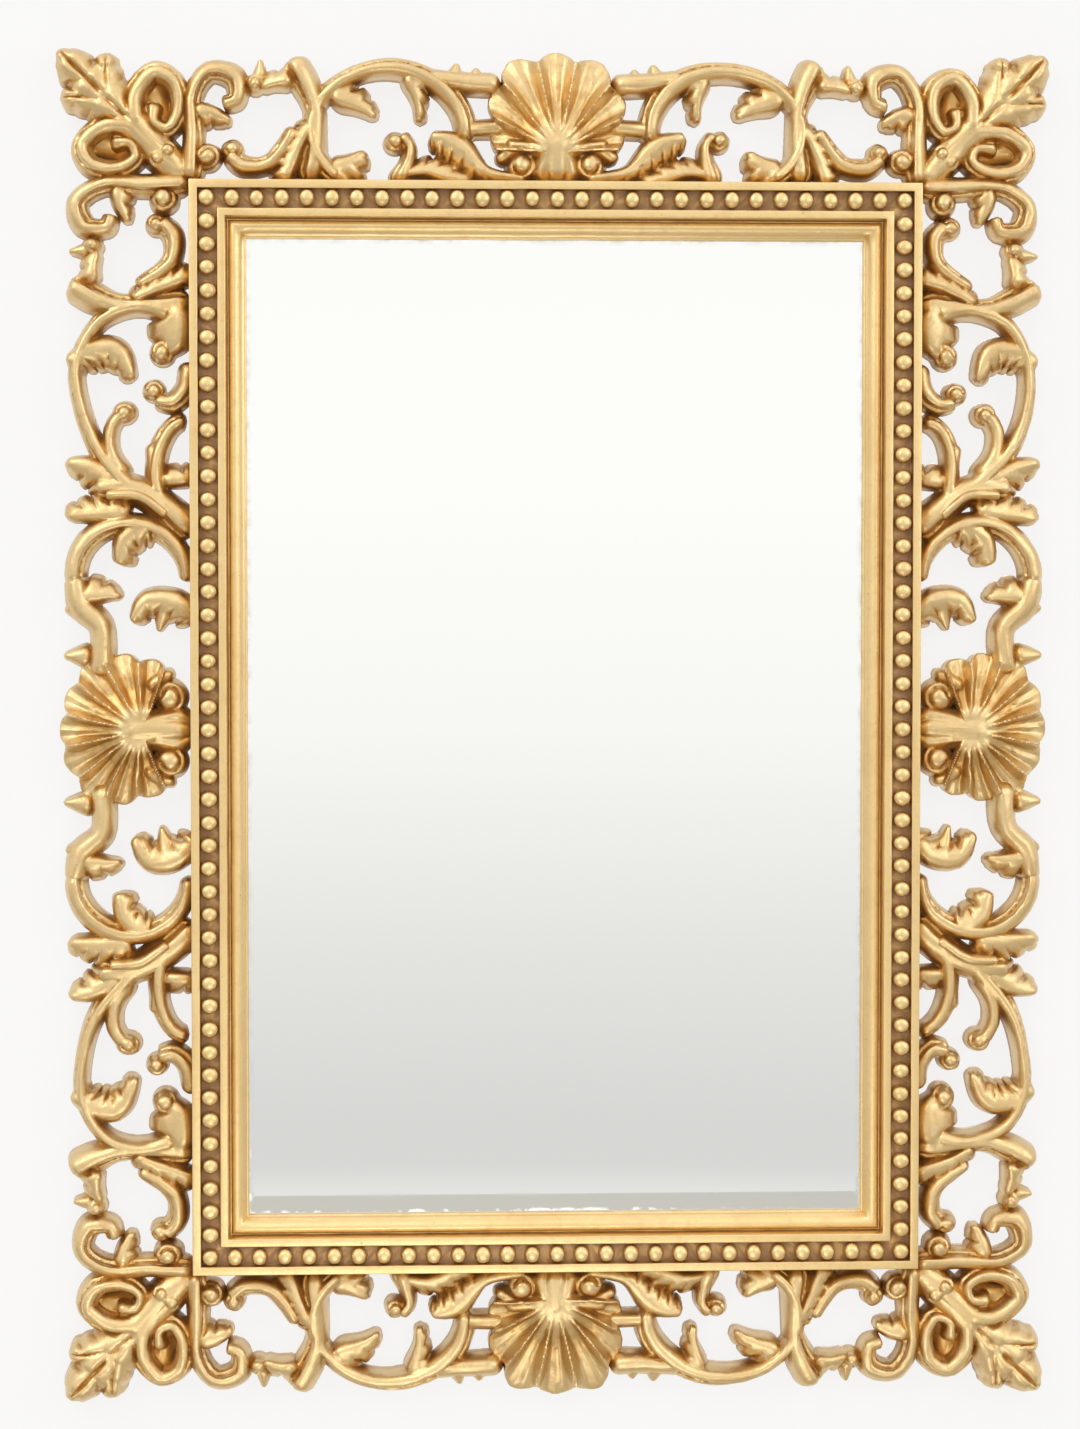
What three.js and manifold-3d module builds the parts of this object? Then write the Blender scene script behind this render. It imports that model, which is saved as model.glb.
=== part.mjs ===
// Carved and gilded wall mirror: a pierced openwork surround of scrolls, leaves and shells,
// a beaded sight moulding laid on its inner ledge, a plain silvered plate and a backboard.
//
// Units are millimetres. X runs to the right, Z up, and the front faces -Y.
// The origin is the centre of the flat back, which rests against the wall at Y = 0.

import * as THREE from 'three';
import { mergeVertices } from 'three/addons/utils/BufferGeometryUtils.js';
import Module from 'manifold-3d';

// Sight opening and the flat parts behind it
const SIGHT_WIDTH = 480;
const SIGHT_HEIGHT = 760;
const GLASS_LAP = 6;
const GLASS_THICKNESS = 4;
const BACKBOARD_THICKNESS = 6;
const CLEARANCE = 0.3;

// Sight moulding
const MOULDING_WIDTH = 43;
const MOULDING_DEPTH = 38;
const LIP_HEIGHT = 15;
const TORUS_HEIGHT = 24;
const QUIRK_HEIGHT = 19;
const INNER_FILLET_HEIGHT = 33;
const CHANNEL_HEIGHT = 29;
const OUTER_FILLET_HEIGHT = 36;

// Places across the moulding, measured outward from the sight edge
const TORUS_FROM = 1.5;
const QUIRK_AT = 14;
const INNER_FILLET_FROM = 15.5;
const CHANNEL_FROM = 22;
const CHANNEL_TO = 36;
const OUTER_FILLET_FROM = 36.5;

// Beads in the channel, which stand a little closer up the sides than along the top and foot
const BEAD_WIDTH = 12;
const BEAD_PITCH_ACROSS = 19;
const BEAD_PITCH_UPRIGHT = 17.8;
const BEAD_SUNK = 1.5;
const CORNER_BEAD_SHOULDER_RADIUS = 5;
const CORNER_BEAD_SHOULDER_HEIGHT = 5.4;
const CORNER_BEAD_SIDES = 6;

// Carved surround
const CARVING_WIDTH = 102;
const CARVING_DEPTH = 34;

// Heights of the carving above the wall, as shares of its depth
const STEM_HEIGHTS = [0.75, 0.7];
const SPUR_HEIGHT = 0.45;
const KNOB_HEIGHT = 0.85;
const RIDGE_HEIGHT = 0.95;
const HOLLOW_HEIGHT = 0.68;
const ROOT_HEIGHT = 0.8;

// Knobs and shells
const KNOB_SIDES = 6;
const KNOB_CROWN = 0.6;
const FLUTE_ANGLE = 25;
const RIDGE_DRAW_IN = 0.9;
const SHELL_BOSS = 10;

// Master drawing that the carving is laid out on: one quarter of the frame, u outward from the
// vertical centre line and v outward from the horizontal one
const DRAWING_INNER_U = 283;
const DRAWING_INNER_V = 423;
const DRAWING_BAND = 102;
const DRAWING_DIAGONAL = 140;

const ledgeThickness = BACKBOARD_THICKNESS + GLASS_THICKNESS + CLEARANCE;
const mouldingBack = ledgeThickness + CLEARANCE;
const innerHalfWidth = SIGHT_WIDTH / 2 + MOULDING_WIDTH;
const innerHalfHeight = SIGHT_HEIGHT / 2 + MOULDING_WIDTH;
const glassHalfWidth = SIGHT_WIDTH / 2 + GLASS_LAP;
const glassHalfHeight = SIGHT_HEIGHT / 2 + GLASS_LAP;
const carvingScale = CARVING_WIDTH / DRAWING_BAND;
const beadLine = (CHANNEL_FROM + CHANNEL_TO) / 2;

// A step along a path, as a share of it, over which its direction is taken
const PATH_STEP = 0.01;

const wasm = await Module();
wasm.setup();

// A place on the master drawing becomes a place on the frame. Inside the moulding's outline the
// drawing stretches with the opening, and beyond it with the width of the carved band.
function stretch(distance, drawnInner, realInner) {
  return distance <= drawnInner
    ? (distance * realInner) / drawnInner
    : realInner + (distance - drawnInner) * carvingScale;
}

function onFrame([u, v]) {
  return [
    stretch(Math.abs(u), DRAWING_INNER_U, innerHalfWidth) * Math.sign(u),
    stretch(Math.abs(v), DRAWING_INNER_V, innerHalfHeight) * Math.sign(v),
  ];
}

// The corner is alike on both sides of its diagonal, and this swaps the two sides.
function acrossDiagonal([u, v]) {
  return [v - DRAWING_DIAGONAL, u + DRAWING_DIAGONAL];
}

// Closed solids from rings of points

function signedVolume(points, triangles) {
  let volume = 0;
  for (const [a, b, c] of triangles) {
    const [p, q, r] = [points[a], points[b], points[c]];
    volume += p[0] * (q[1] * r[2] - q[2] * r[1]);
    volume += p[1] * (q[2] * r[0] - q[0] * r[2]);
    volume += p[2] * (q[0] * r[1] - q[1] * r[0]);
  }
  return volume / 6;
}

function toGeometry(points, triangles) {
  const outward = signedVolume(points, triangles) > 0;
  const index = triangles.flatMap(([a, b, c]) => (outward ? [a, b, c] : [a, c, b]));
  const geometry = new THREE.BufferGeometry();
  geometry.setAttribute('position', new THREE.Float32BufferAttribute(points.flat(), 3));
  geometry.setIndex(index);
  return geometry;
}

function loft(rings, closed = false) {
  const sides = rings[0].length;
  const points = rings.flat();
  const triangles = [];
  const spans = closed ? rings.length : rings.length - 1;
  for (let i = 0; i < spans; i += 1) {
    const next = (i + 1) % rings.length;
    for (let j = 0; j < sides; j += 1) {
      const k = (j + 1) % sides;
      const a = i * sides + j;
      const b = i * sides + k;
      const c = next * sides + j;
      const d = next * sides + k;
      triangles.push([a, b, c], [b, d, c]);
    }
  }
  if (!closed) {
    const last = (rings.length - 1) * sides;
    for (let j = 1; j < sides - 1; j += 1) {
      triangles.push([0, j + 1, j], [last, last + j, last + j + 1]);
    }
  }
  return toGeometry(points, triangles);
}

// A profile of [radius, height] turned about an axis that stands out from the wall
function turned(profile, sides) {
  const lathe = new THREE.LatheGeometry(profile.map(([r, y]) => new THREE.Vector2(r, y)), sides);
  lathe.rotateX(Math.PI);
  return lathe;
}

function toSolid(geometry) {
  const bare = geometry.clone();
  bare.deleteAttribute('normal');
  bare.deleteAttribute('uv');
  const merged = mergeVertices(bare);
  const mesh = new wasm.Mesh({
    numProp: 3,
    vertProperties: new Float32Array(merged.attributes.position.array),
    triVerts: new Uint32Array(merged.index.array),
  });
  return new wasm.Manifold(mesh);
}

function fromSolid(solid) {
  const mesh = solid.getMesh();
  const geometry = new THREE.BufferGeometry();
  geometry.setAttribute('position', new THREE.Float32BufferAttribute(mesh.vertProperties, 3));
  geometry.setIndex(new THREE.Uint32BufferAttribute(mesh.triVerts, 1));
  return geometry;
}

function join(solids) {
  let layer = solids;
  while (layer.length > 1) {
    const next = [];
    for (let i = 0; i < layer.length; i += 2) {
      next.push(i + 1 < layer.length ? layer[i].add(layer[i + 1]) : layer[i]);
    }
    layer = next;
  }
  return layer[0];
}

// A profile of [distance outward from the sight edge, height above the wall] carried round
// a mitred rectangle
function mitredRing(profile) {
  const corners = [[1, 1], [-1, 1], [-1, -1], [1, -1]];
  const rings = corners.map(([sx, sz]) => profile.map(([out, height]) => [
    sx * (SIGHT_WIDTH / 2 + out),
    -height,
    sz * (SIGHT_HEIGHT / 2 + out),
  ]));
  return loft(rings, true);
}

// Paths on the master drawing

const toRadians = (angle) => (angle * Math.PI) / 180;

// Part of an oval about (u, v), from angle 0 at its outward side toward 90 at its upper side
function oval(u, v, radiusU, radiusV, from, to) {
  return (t) => {
    const angle = toRadians(from + (to - from) * t);
    return [u + radiusU * Math.cos(angle), v + radiusV * Math.sin(angle)];
  };
}

// A bow from one point to another that swells to its left by the given rise
function bow(from, to, rise = 0) {
  const [du, dv] = [to[0] - from[0], to[1] - from[1]];
  const length = Math.hypot(du, dv);
  return (t) => {
    const swell = 4 * rise * t * (1 - t);
    return [
      from[0] + du * t - (dv / length) * swell,
      from[1] + dv * t + (du / length) * swell,
    ];
  };
}

function throughPoints(...points) {
  const curve = new THREE.SplineCurve(points.map(([u, v]) => new THREE.Vector2(u, v)));
  return (t) => {
    const point = curve.getPoint(t);
    return [point.x, point.y];
  };
}

// Strokes of the carver's drawing. Each runs along a path, with its widths at even steps from
// start to end and its height above the wall, as a share of the carving's depth, at both ends.

function stroke(path, widths, heights = STEM_HEIGHTS) {
  return { kind: 'stroke', path, widths, heights };
}

// A spur is a short leaf that tapers straight to a point.
function spur(from, to, width, height = SPUR_HEIGHT) {
  return { kind: 'spur', path: bow(from, to), width, height };
}

function knob(u, v, radius, height = KNOB_HEIGHT) {
  return { kind: 'knob', path: () => [u, v], radius, height };
}

function mirroredAcrossDiagonal(form) {
  return { ...form, path: (t) => acrossDiagonal(form.path(t)) };
}

// Points across a path: aside of it by a distance, and out from the wall by a height
function crossing(path, t) {
  const [x, z] = onFrame(path(t));
  const [xa, za] = onFrame(path(Math.max(0, t - PATH_STEP)));
  const [xb, zb] = onFrame(path(Math.min(1, t + PATH_STEP)));
  const run = Math.hypot(xb - xa, zb - za);
  const [nx, nz] = [-(zb - za) / run, (xb - xa) / run];
  return (aside, height) => [
    x + nx * aside * carvingScale,
    -height * CARVING_DEPTH,
    z + nz * aside * carvingScale,
  ];
}

function strokeGeometry({ path, widths, heights }) {
  const [heightFrom, heightTo] = heights;
  const rings = widths.map((width, i) => {
    const t = i / (widths.length - 1);
    const at = crossing(path, t);
    return [at(-width / 2, 0), at(width / 2, 0), at(0, heightFrom + (heightTo - heightFrom) * t)];
  });
  return loft(rings);
}

function spurGeometry({ path, width, height }) {
  const root = crossing(path, 0);
  const tip = crossing(path, 1);
  const points = [root(-width / 2, 0), root(width / 2, 0), root(0, height), tip(0, 0)];
  return toGeometry(points, [[0, 1, 2], [1, 0, 3], [2, 1, 3], [0, 2, 3]]);
}

function knobGeometry({ path, radius, height }) {
  const [x, z] = onFrame(path(0));
  const wide = radius * carvingScale;
  const top = height * CARVING_DEPTH;
  const solid = turned([[0, 0], [wide, 0], [wide * KNOB_CROWN, top], [0, top]], KNOB_SIDES);
  solid.translate(x, 0, z);
  return solid;
}

const formGeometry = { stroke: strokeGeometry, spur: spurGeometry, knob: knobGeometry };
const toForm = (form) => toSolid(formGeometry[form.kind](form));

// One half of a corner, from the diagonal to the trunk that carries the first big scroll
function halfCornerForms() {
  return [
    stroke(bow([342, 470], [346, 522.5]), [26, 25], [0.8, 0.93]),
    stroke(bow([309, 456], [308, 515]), [26, 44, 22], [0.85, 0.78]),
    stroke(
      throughPoints([281, 424], [280, 456], [281, 488], [268, 508], [249, 504], [249, 486]),
      [18, 16, 16, 19, 15],
    ),
    spur([279, 469], [252, 468], 22),
    knob(269, 442, 11),
    spur([230, 498], [228, 517], 17),
    stroke(bow([240, 496], [201, 500]), [14, 18]),
    stroke(throughPoints([204, 518], [189, 482], [188, 458], [191, 424]), [24, 18, 27]),
    stroke(throughPoints([253, 447], [241, 436], [221, 440], [203, 465]), [17, 17, 15, 12]),
    stroke(bow([193, 470], [214, 421]), [16, 20]),
  ];
}

// The corner's own leaf, which lies on the diagonal and springs from the moulding's corner
function cornerLeafForms() {
  return [stroke(bow([286, 426], [379, 519]), [30, 38, 42, 16], [0.75, 1])];
}

// Half of the top, from the trunk to the shell
function topSideForms() {
  return [
    stroke(oval(131, 463, 60, 48, -52, 188), [14, 14, 14, 17, 18, 16]),
    stroke(bow([172, 497], [141, 473], -4), [24, 26, 9]),
    stroke(bow([110, 510], [107, 469]), [22, 9]),
    stroke(throughPoints([124, 422], [116, 440], [116, 456], [130, 458]), [21, 12, 15, 12]),
    stroke(bow([173, 424], [147, 448], 4), [29, 27, 10]),
    stroke(throughPoints([116, 430], [100, 435], [84, 431], [64, 421]), [13, 17, 18, 21]),
    stroke(throughPoints([98, 457], [79, 449], [56, 430], [24, 424]), [9, 24, 15, 14]),
    stroke(bow([98, 505], [42, 500]), [14, 17]),
    spur([80, 500], [76, 515], 20),
  ];
}

// Half of a side, from the trunk to the shell
function longSideForms() {
  return [
    stroke(
      throughPoints([298, 322], [325, 327], [354, 315], [370, 285], [367, 248], [354, 216], [328, 186]),
      [18, 14, 12, 12, 14, 18],
    ),
    stroke(bow([300, 330], [303, 282], -4), [26, 34, 22]),
    stroke(throughPoints([374, 281], [358, 290], [341, 289], [330, 270]), [16, 23, 21, 9]),
    stroke(throughPoints([284, 284], [287, 264], [298, 253], [317, 259]), [15, 16, 17, 15]),
    stroke(throughPoints([334, 192], [344, 214], [345, 238], [328, 245]), [23, 13, 16, 14]),
    stroke(bow([342, 183], [381, 208]), [27, 12]),
    stroke(throughPoints([356, 188], [330, 187], [305, 174], [282, 152]), [17, 21, 24, 27]),
    stroke(bow([330, 171], [381, 166]), [26, 13]),
    stroke(oval(288, 200, 22, 39, -35, 92), [17, 16, 14]),
    stroke(oval(330, 118, 43, 42, -8, 184), [16, 17, 16, 15, 12]),
    stroke(throughPoints([314, 153], [330, 147], [337, 127]), [19, 21, 14]),
    stroke(throughPoints([282, 86], [297, 96], [315, 96], [326, 82]), [19, 23, 20, 9]),
    spur([303, 97], [308, 75], 17),
    spur([368, 106], [336, 103], 25),
    stroke(throughPoints([373, 118], [369, 96], [353, 78], [353, 42]), [16, 18, 17, 19]),
    spur([361, 92], [383, 94], 23),
    spur([358, 57], [384, 57], 23),
  ];
}

// Shells: rays alternate between a ridge and the hollow of a flute. The reach of each flute is
// listed from the middle one to the outermost, and the fan is alike on both sides.

function shellRays(reach) {
  const outermost = reach.length - 1;
  const rays = [];
  for (let half = -2 * outermost - 1; half <= 2 * outermost + 1; half += 1) {
    const flute = Math.min(outermost, Math.floor(Math.abs(half) / 2));
    const beyond = Math.min(outermost, Math.ceil(Math.abs(half) / 2));
    const isRidge = half % 2 !== 0;
    const mean = (reach[flute] + reach[beyond]) / 2;
    rays.push({
      angle: (half * FLUTE_ANGLE) / 2,
      reach: isRidge ? mean * RIDGE_DRAW_IN : reach[flute],
      height: isRidge ? RIDGE_HEIGHT : HOLLOW_HEIGHT,
    });
  }
  return rays;
}

// The direction is a unit vector on the drawing along which the shell opens.
function shellGeometry(root, direction, reach) {
  const [du, dv] = direction;
  const [rootX, rootZ] = onFrame(root);
  const rays = shellRays(reach);
  const count = rays.length;
  const points = [];
  const place = (ray, distance, height) => {
    const forward = distance * carvingScale * Math.cos(toRadians(ray.angle));
    const aside = distance * carvingScale * Math.sin(toRadians(ray.angle));
    points.push([
      rootX + du * forward - dv * aside,
      -height * CARVING_DEPTH,
      rootZ + dv * forward + du * aside,
    ]);
  };
  rays.forEach((ray) => place(ray, SHELL_BOSS, ROOT_HEIGHT));
  rays.forEach((ray) => place(ray, ray.reach, ray.height));
  rays.forEach((ray) => place(ray, ray.reach, 0));
  rays.forEach((ray) => place(ray, SHELL_BOSS, 0));
  const triangles = [];
  const layers = points.length / count;
  for (let layer = 0; layer < layers; layer += 1) {
    const next = (layer + 1) % layers;
    for (let i = 0; i < count - 1; i += 1) {
      const a = layer * count + i;
      const b = next * count + i;
      triangles.push([a, a + 1, b], [a + 1, b + 1, b]);
    }
  }
  for (const end of [0, count - 1]) {
    const cap = [0, 1, 2, 3].map((layer) => layer * count + end);
    for (let j = 1; j < layers - 1; j += 1) {
      const face = [cap[0], cap[j], cap[j + 1]];
      triangles.push(end === 0 ? face : face.reverse());
    }
  }
  return toGeometry(points, triangles);
}

const TOP_SHELL_ROOT = [0, 446];
const TOP_SHELL_REACH = [78, 79, 66, 53];
const SIDE_SHELL_ROOT = [322, 0];
const SIDE_SHELL_REACH = [63, 64, 67, 60, 54];

function shellGeometries() {
  const [topU, topV] = TOP_SHELL_ROOT;
  const [sideU, sideV] = SIDE_SHELL_ROOT;
  return [
    shellGeometry([topU, topV], [0, 1], TOP_SHELL_REACH),
    shellGeometry([topU, -topV], [0, -1], TOP_SHELL_REACH),
    shellGeometry([sideU, sideV], [1, 0], SIDE_SHELL_REACH),
    shellGeometry([-sideU, sideV], [-1, 0], SIDE_SHELL_REACH),
  ];
}

// Volutes beside the root of each shell, for one quarter
function shellVoluteForms() {
  return [
    knob(27, 437, 14),
    stroke(bow([20, 453], [47, 440]), [15, 10]),
    knob(301, 24, 15),
  ];
}

// The root of each shell, which runs from its boss to the moulding
function shellRootForms() {
  const top = stroke(bow([0, 462], [0, 421]), [30, 50], [0.9, 0.65]);
  const side = stroke(bow([338, 0], [281, 0]), [30, 46], [0.9, 0.65]);
  return [top, side];
}

function mirrored(geometry, sx, sz) {
  const copy = geometry.clone();
  copy.applyMatrix4(new THREE.Matrix4().makeScale(sx, 1, sz));
  if (sx * sz < 0) {
    const { array } = copy.index;
    for (let i = 0; i < array.length; i += 3) {
      [array[i + 1], array[i + 2]] = [array[i + 2], array[i + 1]];
    }
  }
  return copy;
}

// A block that cuts room for a part of this size, with its clearance, deeper than the carving
function roomFor(halfWidth, halfHeight) {
  const width = 2 * (halfWidth + CLEARANCE);
  const height = 2 * (halfHeight + CLEARANCE);
  return new THREE.BoxGeometry(width, 2 * CARVING_DEPTH, height);
}

function carvedSurround() {
  const corner = halfCornerForms();
  const forms = [
    ...corner,
    ...corner.map(mirroredAcrossDiagonal),
    ...cornerLeafForms(),
    ...topSideForms(),
    ...longSideForms(),
    ...shellVoluteForms(),
  ];
  const quarter = join(forms.map(toForm));
  const quarterGeometry = fromSolid(quarter);
  const quarters = [[1, 1], [-1, 1], [1, -1], [-1, -1]]
    .map(([sx, sz]) => toSolid(mirrored(quarterGeometry, sx, sz)));
  const ledgeInner = GLASS_LAP + CLEARANCE;
  const ledgeOuter = MOULDING_WIDTH + CLEARANCE;
  const ledge = toSolid(mitredRing([
    [ledgeInner, 0], [ledgeOuter, 0], [ledgeOuter, ledgeThickness], [ledgeInner, ledgeThickness],
  ]));
  const mouldingRoom = roomFor(innerHalfWidth, innerHalfHeight);
  mouldingRoom.translate(0, -ledgeThickness - CARVING_DEPTH, 0);
  const plateRoom = roomFor(glassHalfWidth, glassHalfHeight);
  const shells = shellGeometries().map(toSolid);
  const roots = shellRootForms().map(strokeGeometry);
  const farRoots = roots.map((root) => mirrored(root, -1, -1));
  return join([...quarters, ...shells, ...[...roots, ...farRoots].map(toSolid), ledge])
    .subtract(toSolid(mouldingRoom))
    .subtract(toSolid(plateRoom));
}

// Sight moulding, from its lip over the plate out to the fillet that borders the carving

// Beads from end to end of a channel. Each is a four-sided point on the channel's floor, and the
// string is one solid, sunk into the floor.
function beadString(length, drawnPitch) {
  const count = Math.round(length / drawnPitch);
  const pitch = length / count;
  const half = BEAD_WIDTH / 2;
  const points = [];
  const triangles = [];
  for (let i = 0; i <= count; i += 1) {
    const along = -length / 2 + i * pitch;
    points.push([along, -CHANNEL_HEIGHT, -half], [along, -CHANNEL_HEIGHT, half]);
    points.push([along, BEAD_SUNK - CHANNEL_HEIGHT, half], [along, BEAD_SUNK - CHANNEL_HEIGHT, -half]);
  }
  for (let i = 0; i < count; i += 1) {
    const crown = points.length;
    const a = i * 4;
    const b = a + 4;
    points.push([-length / 2 + (i + 0.5) * pitch, -MOULDING_DEPTH, 0]);
    triangles.push([a, a + 1, crown], [a + 1, b + 1, crown], [b + 1, b, crown], [b, a, crown]);
    for (const [p, q] of [[1, 2], [2, 3], [3, 0]]) {
      triangles.push([a + p, a + q, b + p], [a + q, b + q, b + p]);
    }
  }
  const last = count * 4;
  triangles.push([0, 3, 1], [3, 2, 1], [last, last + 1, last + 3], [last + 1, last + 2, last + 3]);
  return toGeometry(points, triangles);
}

function cornerBead() {
  return turned([
    [0, -BEAD_SUNK],
    [BEAD_WIDTH / 2, -BEAD_SUNK],
    [CORNER_BEAD_SHOULDER_RADIUS, CORNER_BEAD_SHOULDER_HEIGHT],
    [0, MOULDING_DEPTH - CHANNEL_HEIGHT],
  ], CORNER_BEAD_SIDES);
}

function sightMoulding() {
  const body = toSolid(mitredRing([
    [0, mouldingBack],
    [MOULDING_WIDTH, mouldingBack],
    [MOULDING_WIDTH, OUTER_FILLET_HEIGHT],
    [OUTER_FILLET_FROM, OUTER_FILLET_HEIGHT],
    [CHANNEL_TO, CHANNEL_HEIGHT],
    [CHANNEL_FROM, CHANNEL_HEIGHT],
    [CHANNEL_FROM, INNER_FILLET_HEIGHT],
    [INNER_FILLET_FROM, INNER_FILLET_HEIGHT],
    [QUIRK_AT, QUIRK_HEIGHT],
    [(QUIRK_AT + TORUS_FROM) / 2, TORUS_HEIGHT],
    [TORUS_FROM, LIP_HEIGHT],
    [0, LIP_HEIGHT],
  ]));
  const halfWidth = SIGHT_WIDTH / 2 + beadLine;
  const halfHeight = SIGHT_HEIGHT / 2 + beadLine;
  const strings = [];
  for (const side of [1, -1]) {
    const across = beadString(2 * halfWidth - BEAD_PITCH_ACROSS, BEAD_PITCH_ACROSS);
    across.translate(0, 0, side * halfHeight);
    const upright = beadString(2 * halfHeight - BEAD_PITCH_UPRIGHT, BEAD_PITCH_UPRIGHT);
    upright.rotateY(Math.PI / 2);
    upright.translate(side * halfWidth, 0, 0);
    strings.push(toSolid(across), toSolid(upright));
    for (const end of [1, -1]) {
      const bead = cornerBead();
      bead.translate(end * halfWidth, -CHANNEL_HEIGHT, side * halfHeight);
      strings.push(toSolid(bead));
    }
  }
  return join([body, ...strings]);
}

function mirrorPlate() {
  const plate = new THREE.BoxGeometry(2 * glassHalfWidth, GLASS_THICKNESS, 2 * glassHalfHeight);
  plate.translate(0, -(BACKBOARD_THICKNESS + CLEARANCE + GLASS_THICKNESS / 2), 0);
  return plate;
}

function backboard() {
  const board = new THREE.BoxGeometry(2 * glassHalfWidth, BACKBOARD_THICKNESS, 2 * glassHalfHeight);
  board.translate(0, -BACKBOARD_THICKNESS / 2, 0);
  return board;
}

const gilding = new THREE.MeshStandardMaterial({ color: 0xd9b064, roughness: 0.42, metalness: 0.9 });
const brightGilding = new THREE.MeshStandardMaterial({ color: 0xdfb976, roughness: 0.36, metalness: 0.9 });
const silvering = new THREE.MeshStandardMaterial({ color: 0xe9ecea, roughness: 0.03, metalness: 1 });
const softwood = new THREE.MeshStandardMaterial({ color: 0x9a7448, roughness: 0.8, metalness: 0 });

function piece(name, geometry, material) {
  const mesh = new THREE.Mesh(geometry, material);
  mesh.name = name;
  return mesh;
}

const wallMirror = new THREE.Group();
wallMirror.add(
  piece('carved_surround', fromSolid(carvedSurround()), gilding),
  piece('sight_moulding', fromSolid(sightMoulding()), brightGilding),
  piece('mirror_plate', mirrorPlate(), silvering),
  piece('backboard', backboard(), softwood),
);

export default wallMirror;
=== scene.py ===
"""The finished surfaces of a carved and gilded wall mirror, and the studio it hangs in.

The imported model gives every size. The carved surround and the beaded moulding are carved again
here with their fine relief, and the plate and the backboard keep their solids.
"""

import logging
import math
from dataclasses import dataclass, replace
from enum import Enum
from typing import Callable, Iterable, Sequence

import bmesh
import bpy
import numpy as np
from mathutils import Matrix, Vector
from mathutils.bvhtree import BVHTree


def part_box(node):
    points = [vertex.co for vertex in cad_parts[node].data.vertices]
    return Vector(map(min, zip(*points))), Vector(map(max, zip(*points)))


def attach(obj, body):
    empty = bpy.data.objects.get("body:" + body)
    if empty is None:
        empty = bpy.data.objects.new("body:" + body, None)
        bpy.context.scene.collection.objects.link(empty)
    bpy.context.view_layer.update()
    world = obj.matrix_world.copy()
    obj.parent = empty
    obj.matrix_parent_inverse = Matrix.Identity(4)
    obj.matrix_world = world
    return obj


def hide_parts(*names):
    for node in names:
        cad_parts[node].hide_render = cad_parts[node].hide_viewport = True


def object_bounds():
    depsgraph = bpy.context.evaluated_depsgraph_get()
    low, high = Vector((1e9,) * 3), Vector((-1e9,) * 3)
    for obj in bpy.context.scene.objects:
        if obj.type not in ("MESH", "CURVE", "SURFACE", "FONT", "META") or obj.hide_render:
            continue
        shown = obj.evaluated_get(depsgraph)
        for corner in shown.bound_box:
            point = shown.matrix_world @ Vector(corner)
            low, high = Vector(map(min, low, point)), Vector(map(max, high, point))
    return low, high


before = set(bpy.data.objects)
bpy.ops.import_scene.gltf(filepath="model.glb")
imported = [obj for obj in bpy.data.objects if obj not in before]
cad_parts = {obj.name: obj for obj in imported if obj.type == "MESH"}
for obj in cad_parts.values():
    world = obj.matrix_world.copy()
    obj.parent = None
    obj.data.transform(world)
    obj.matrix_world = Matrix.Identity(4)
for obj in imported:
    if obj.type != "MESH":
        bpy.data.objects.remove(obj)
cad_low, cad_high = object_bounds()

log = logging.getLogger("wall_mirror")
Path = Callable[[np.ndarray], np.ndarray]
Point = tuple[float, float]
Triple = tuple[float, float, float]
Colour = tuple[float, float, float, float]
MM = 0.001

# Sizes that the frame doesn't state by itself, in metres
GLASS_LAP = 6 * MM
FIT_GAP = 0.3 * MM

# The master drawing of the carving, in millimetres: u outward from the upright centre line and
# v outward from the level one, over one quarter of the frame
DRAWN_INNER = np.array([283.0, 423.0])
DRAWN_BAND = 102.0
DRAWN_DIAGONAL = 140.0

# The carver's cuts. Places across run from 0 at the middle to 1 at the edge, and each depth is a
# share of the height or the width that it is cut from.
CUT_WIDTH = 0.1
STEM_SQUARENESS = 2.6
LEAF_SQUARENESS = 2.4
REED_AT = 0.4
REED_DEPTH = 0.3
REED_STEP = 0.16
REED_STEP_FROM, REED_STEP_TO = 0.36, 0.5
VEIN_DEPTH = 0.18
FAN_SPLIT_AT = 0.36
FAN_SPLIT_DEPTH = 0.2
FAN_SPLIT_FROM, FAN_SPLIT_TO = 0.35, 0.95
HALF_LEAF_CREST = -0.4
HALF_LEAF_NOTCH = 0.3
LEAF_NOTCH = 0.16
FINGER_DEPTH = 0.42
FINGER_LEAN = 0.1
FINGER_SHARPNESS = 6
SPIRAL_DEPTH = 0.24
SPIRAL_FROM, SPIRAL_GROWTH, SPIRAL_WIDTH = 0.42, 0.36, 0.09
KNOB_FLAT_EDGE = 0.97


class Section(Enum):
    """How a carved stroke is shaped across its width."""

    REED = "a rounded stem with a narrow reed along its left side"
    REED_RIGHT = "a rounded stem with a narrow reed along its right side"
    LEAF = "two rounded halves beside a vein, with both edges lobed"
    HALF_LEAF = "a smooth crest at the right, falling to a lobed edge at the left"
    HALF_LEAF_RIGHT = "a smooth crest at the left, falling to a lobed edge at the right"
    FAN = "a broad rounded lobe that splits into fingers toward its end"
    ROUND = "a plain rounded back"


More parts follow.
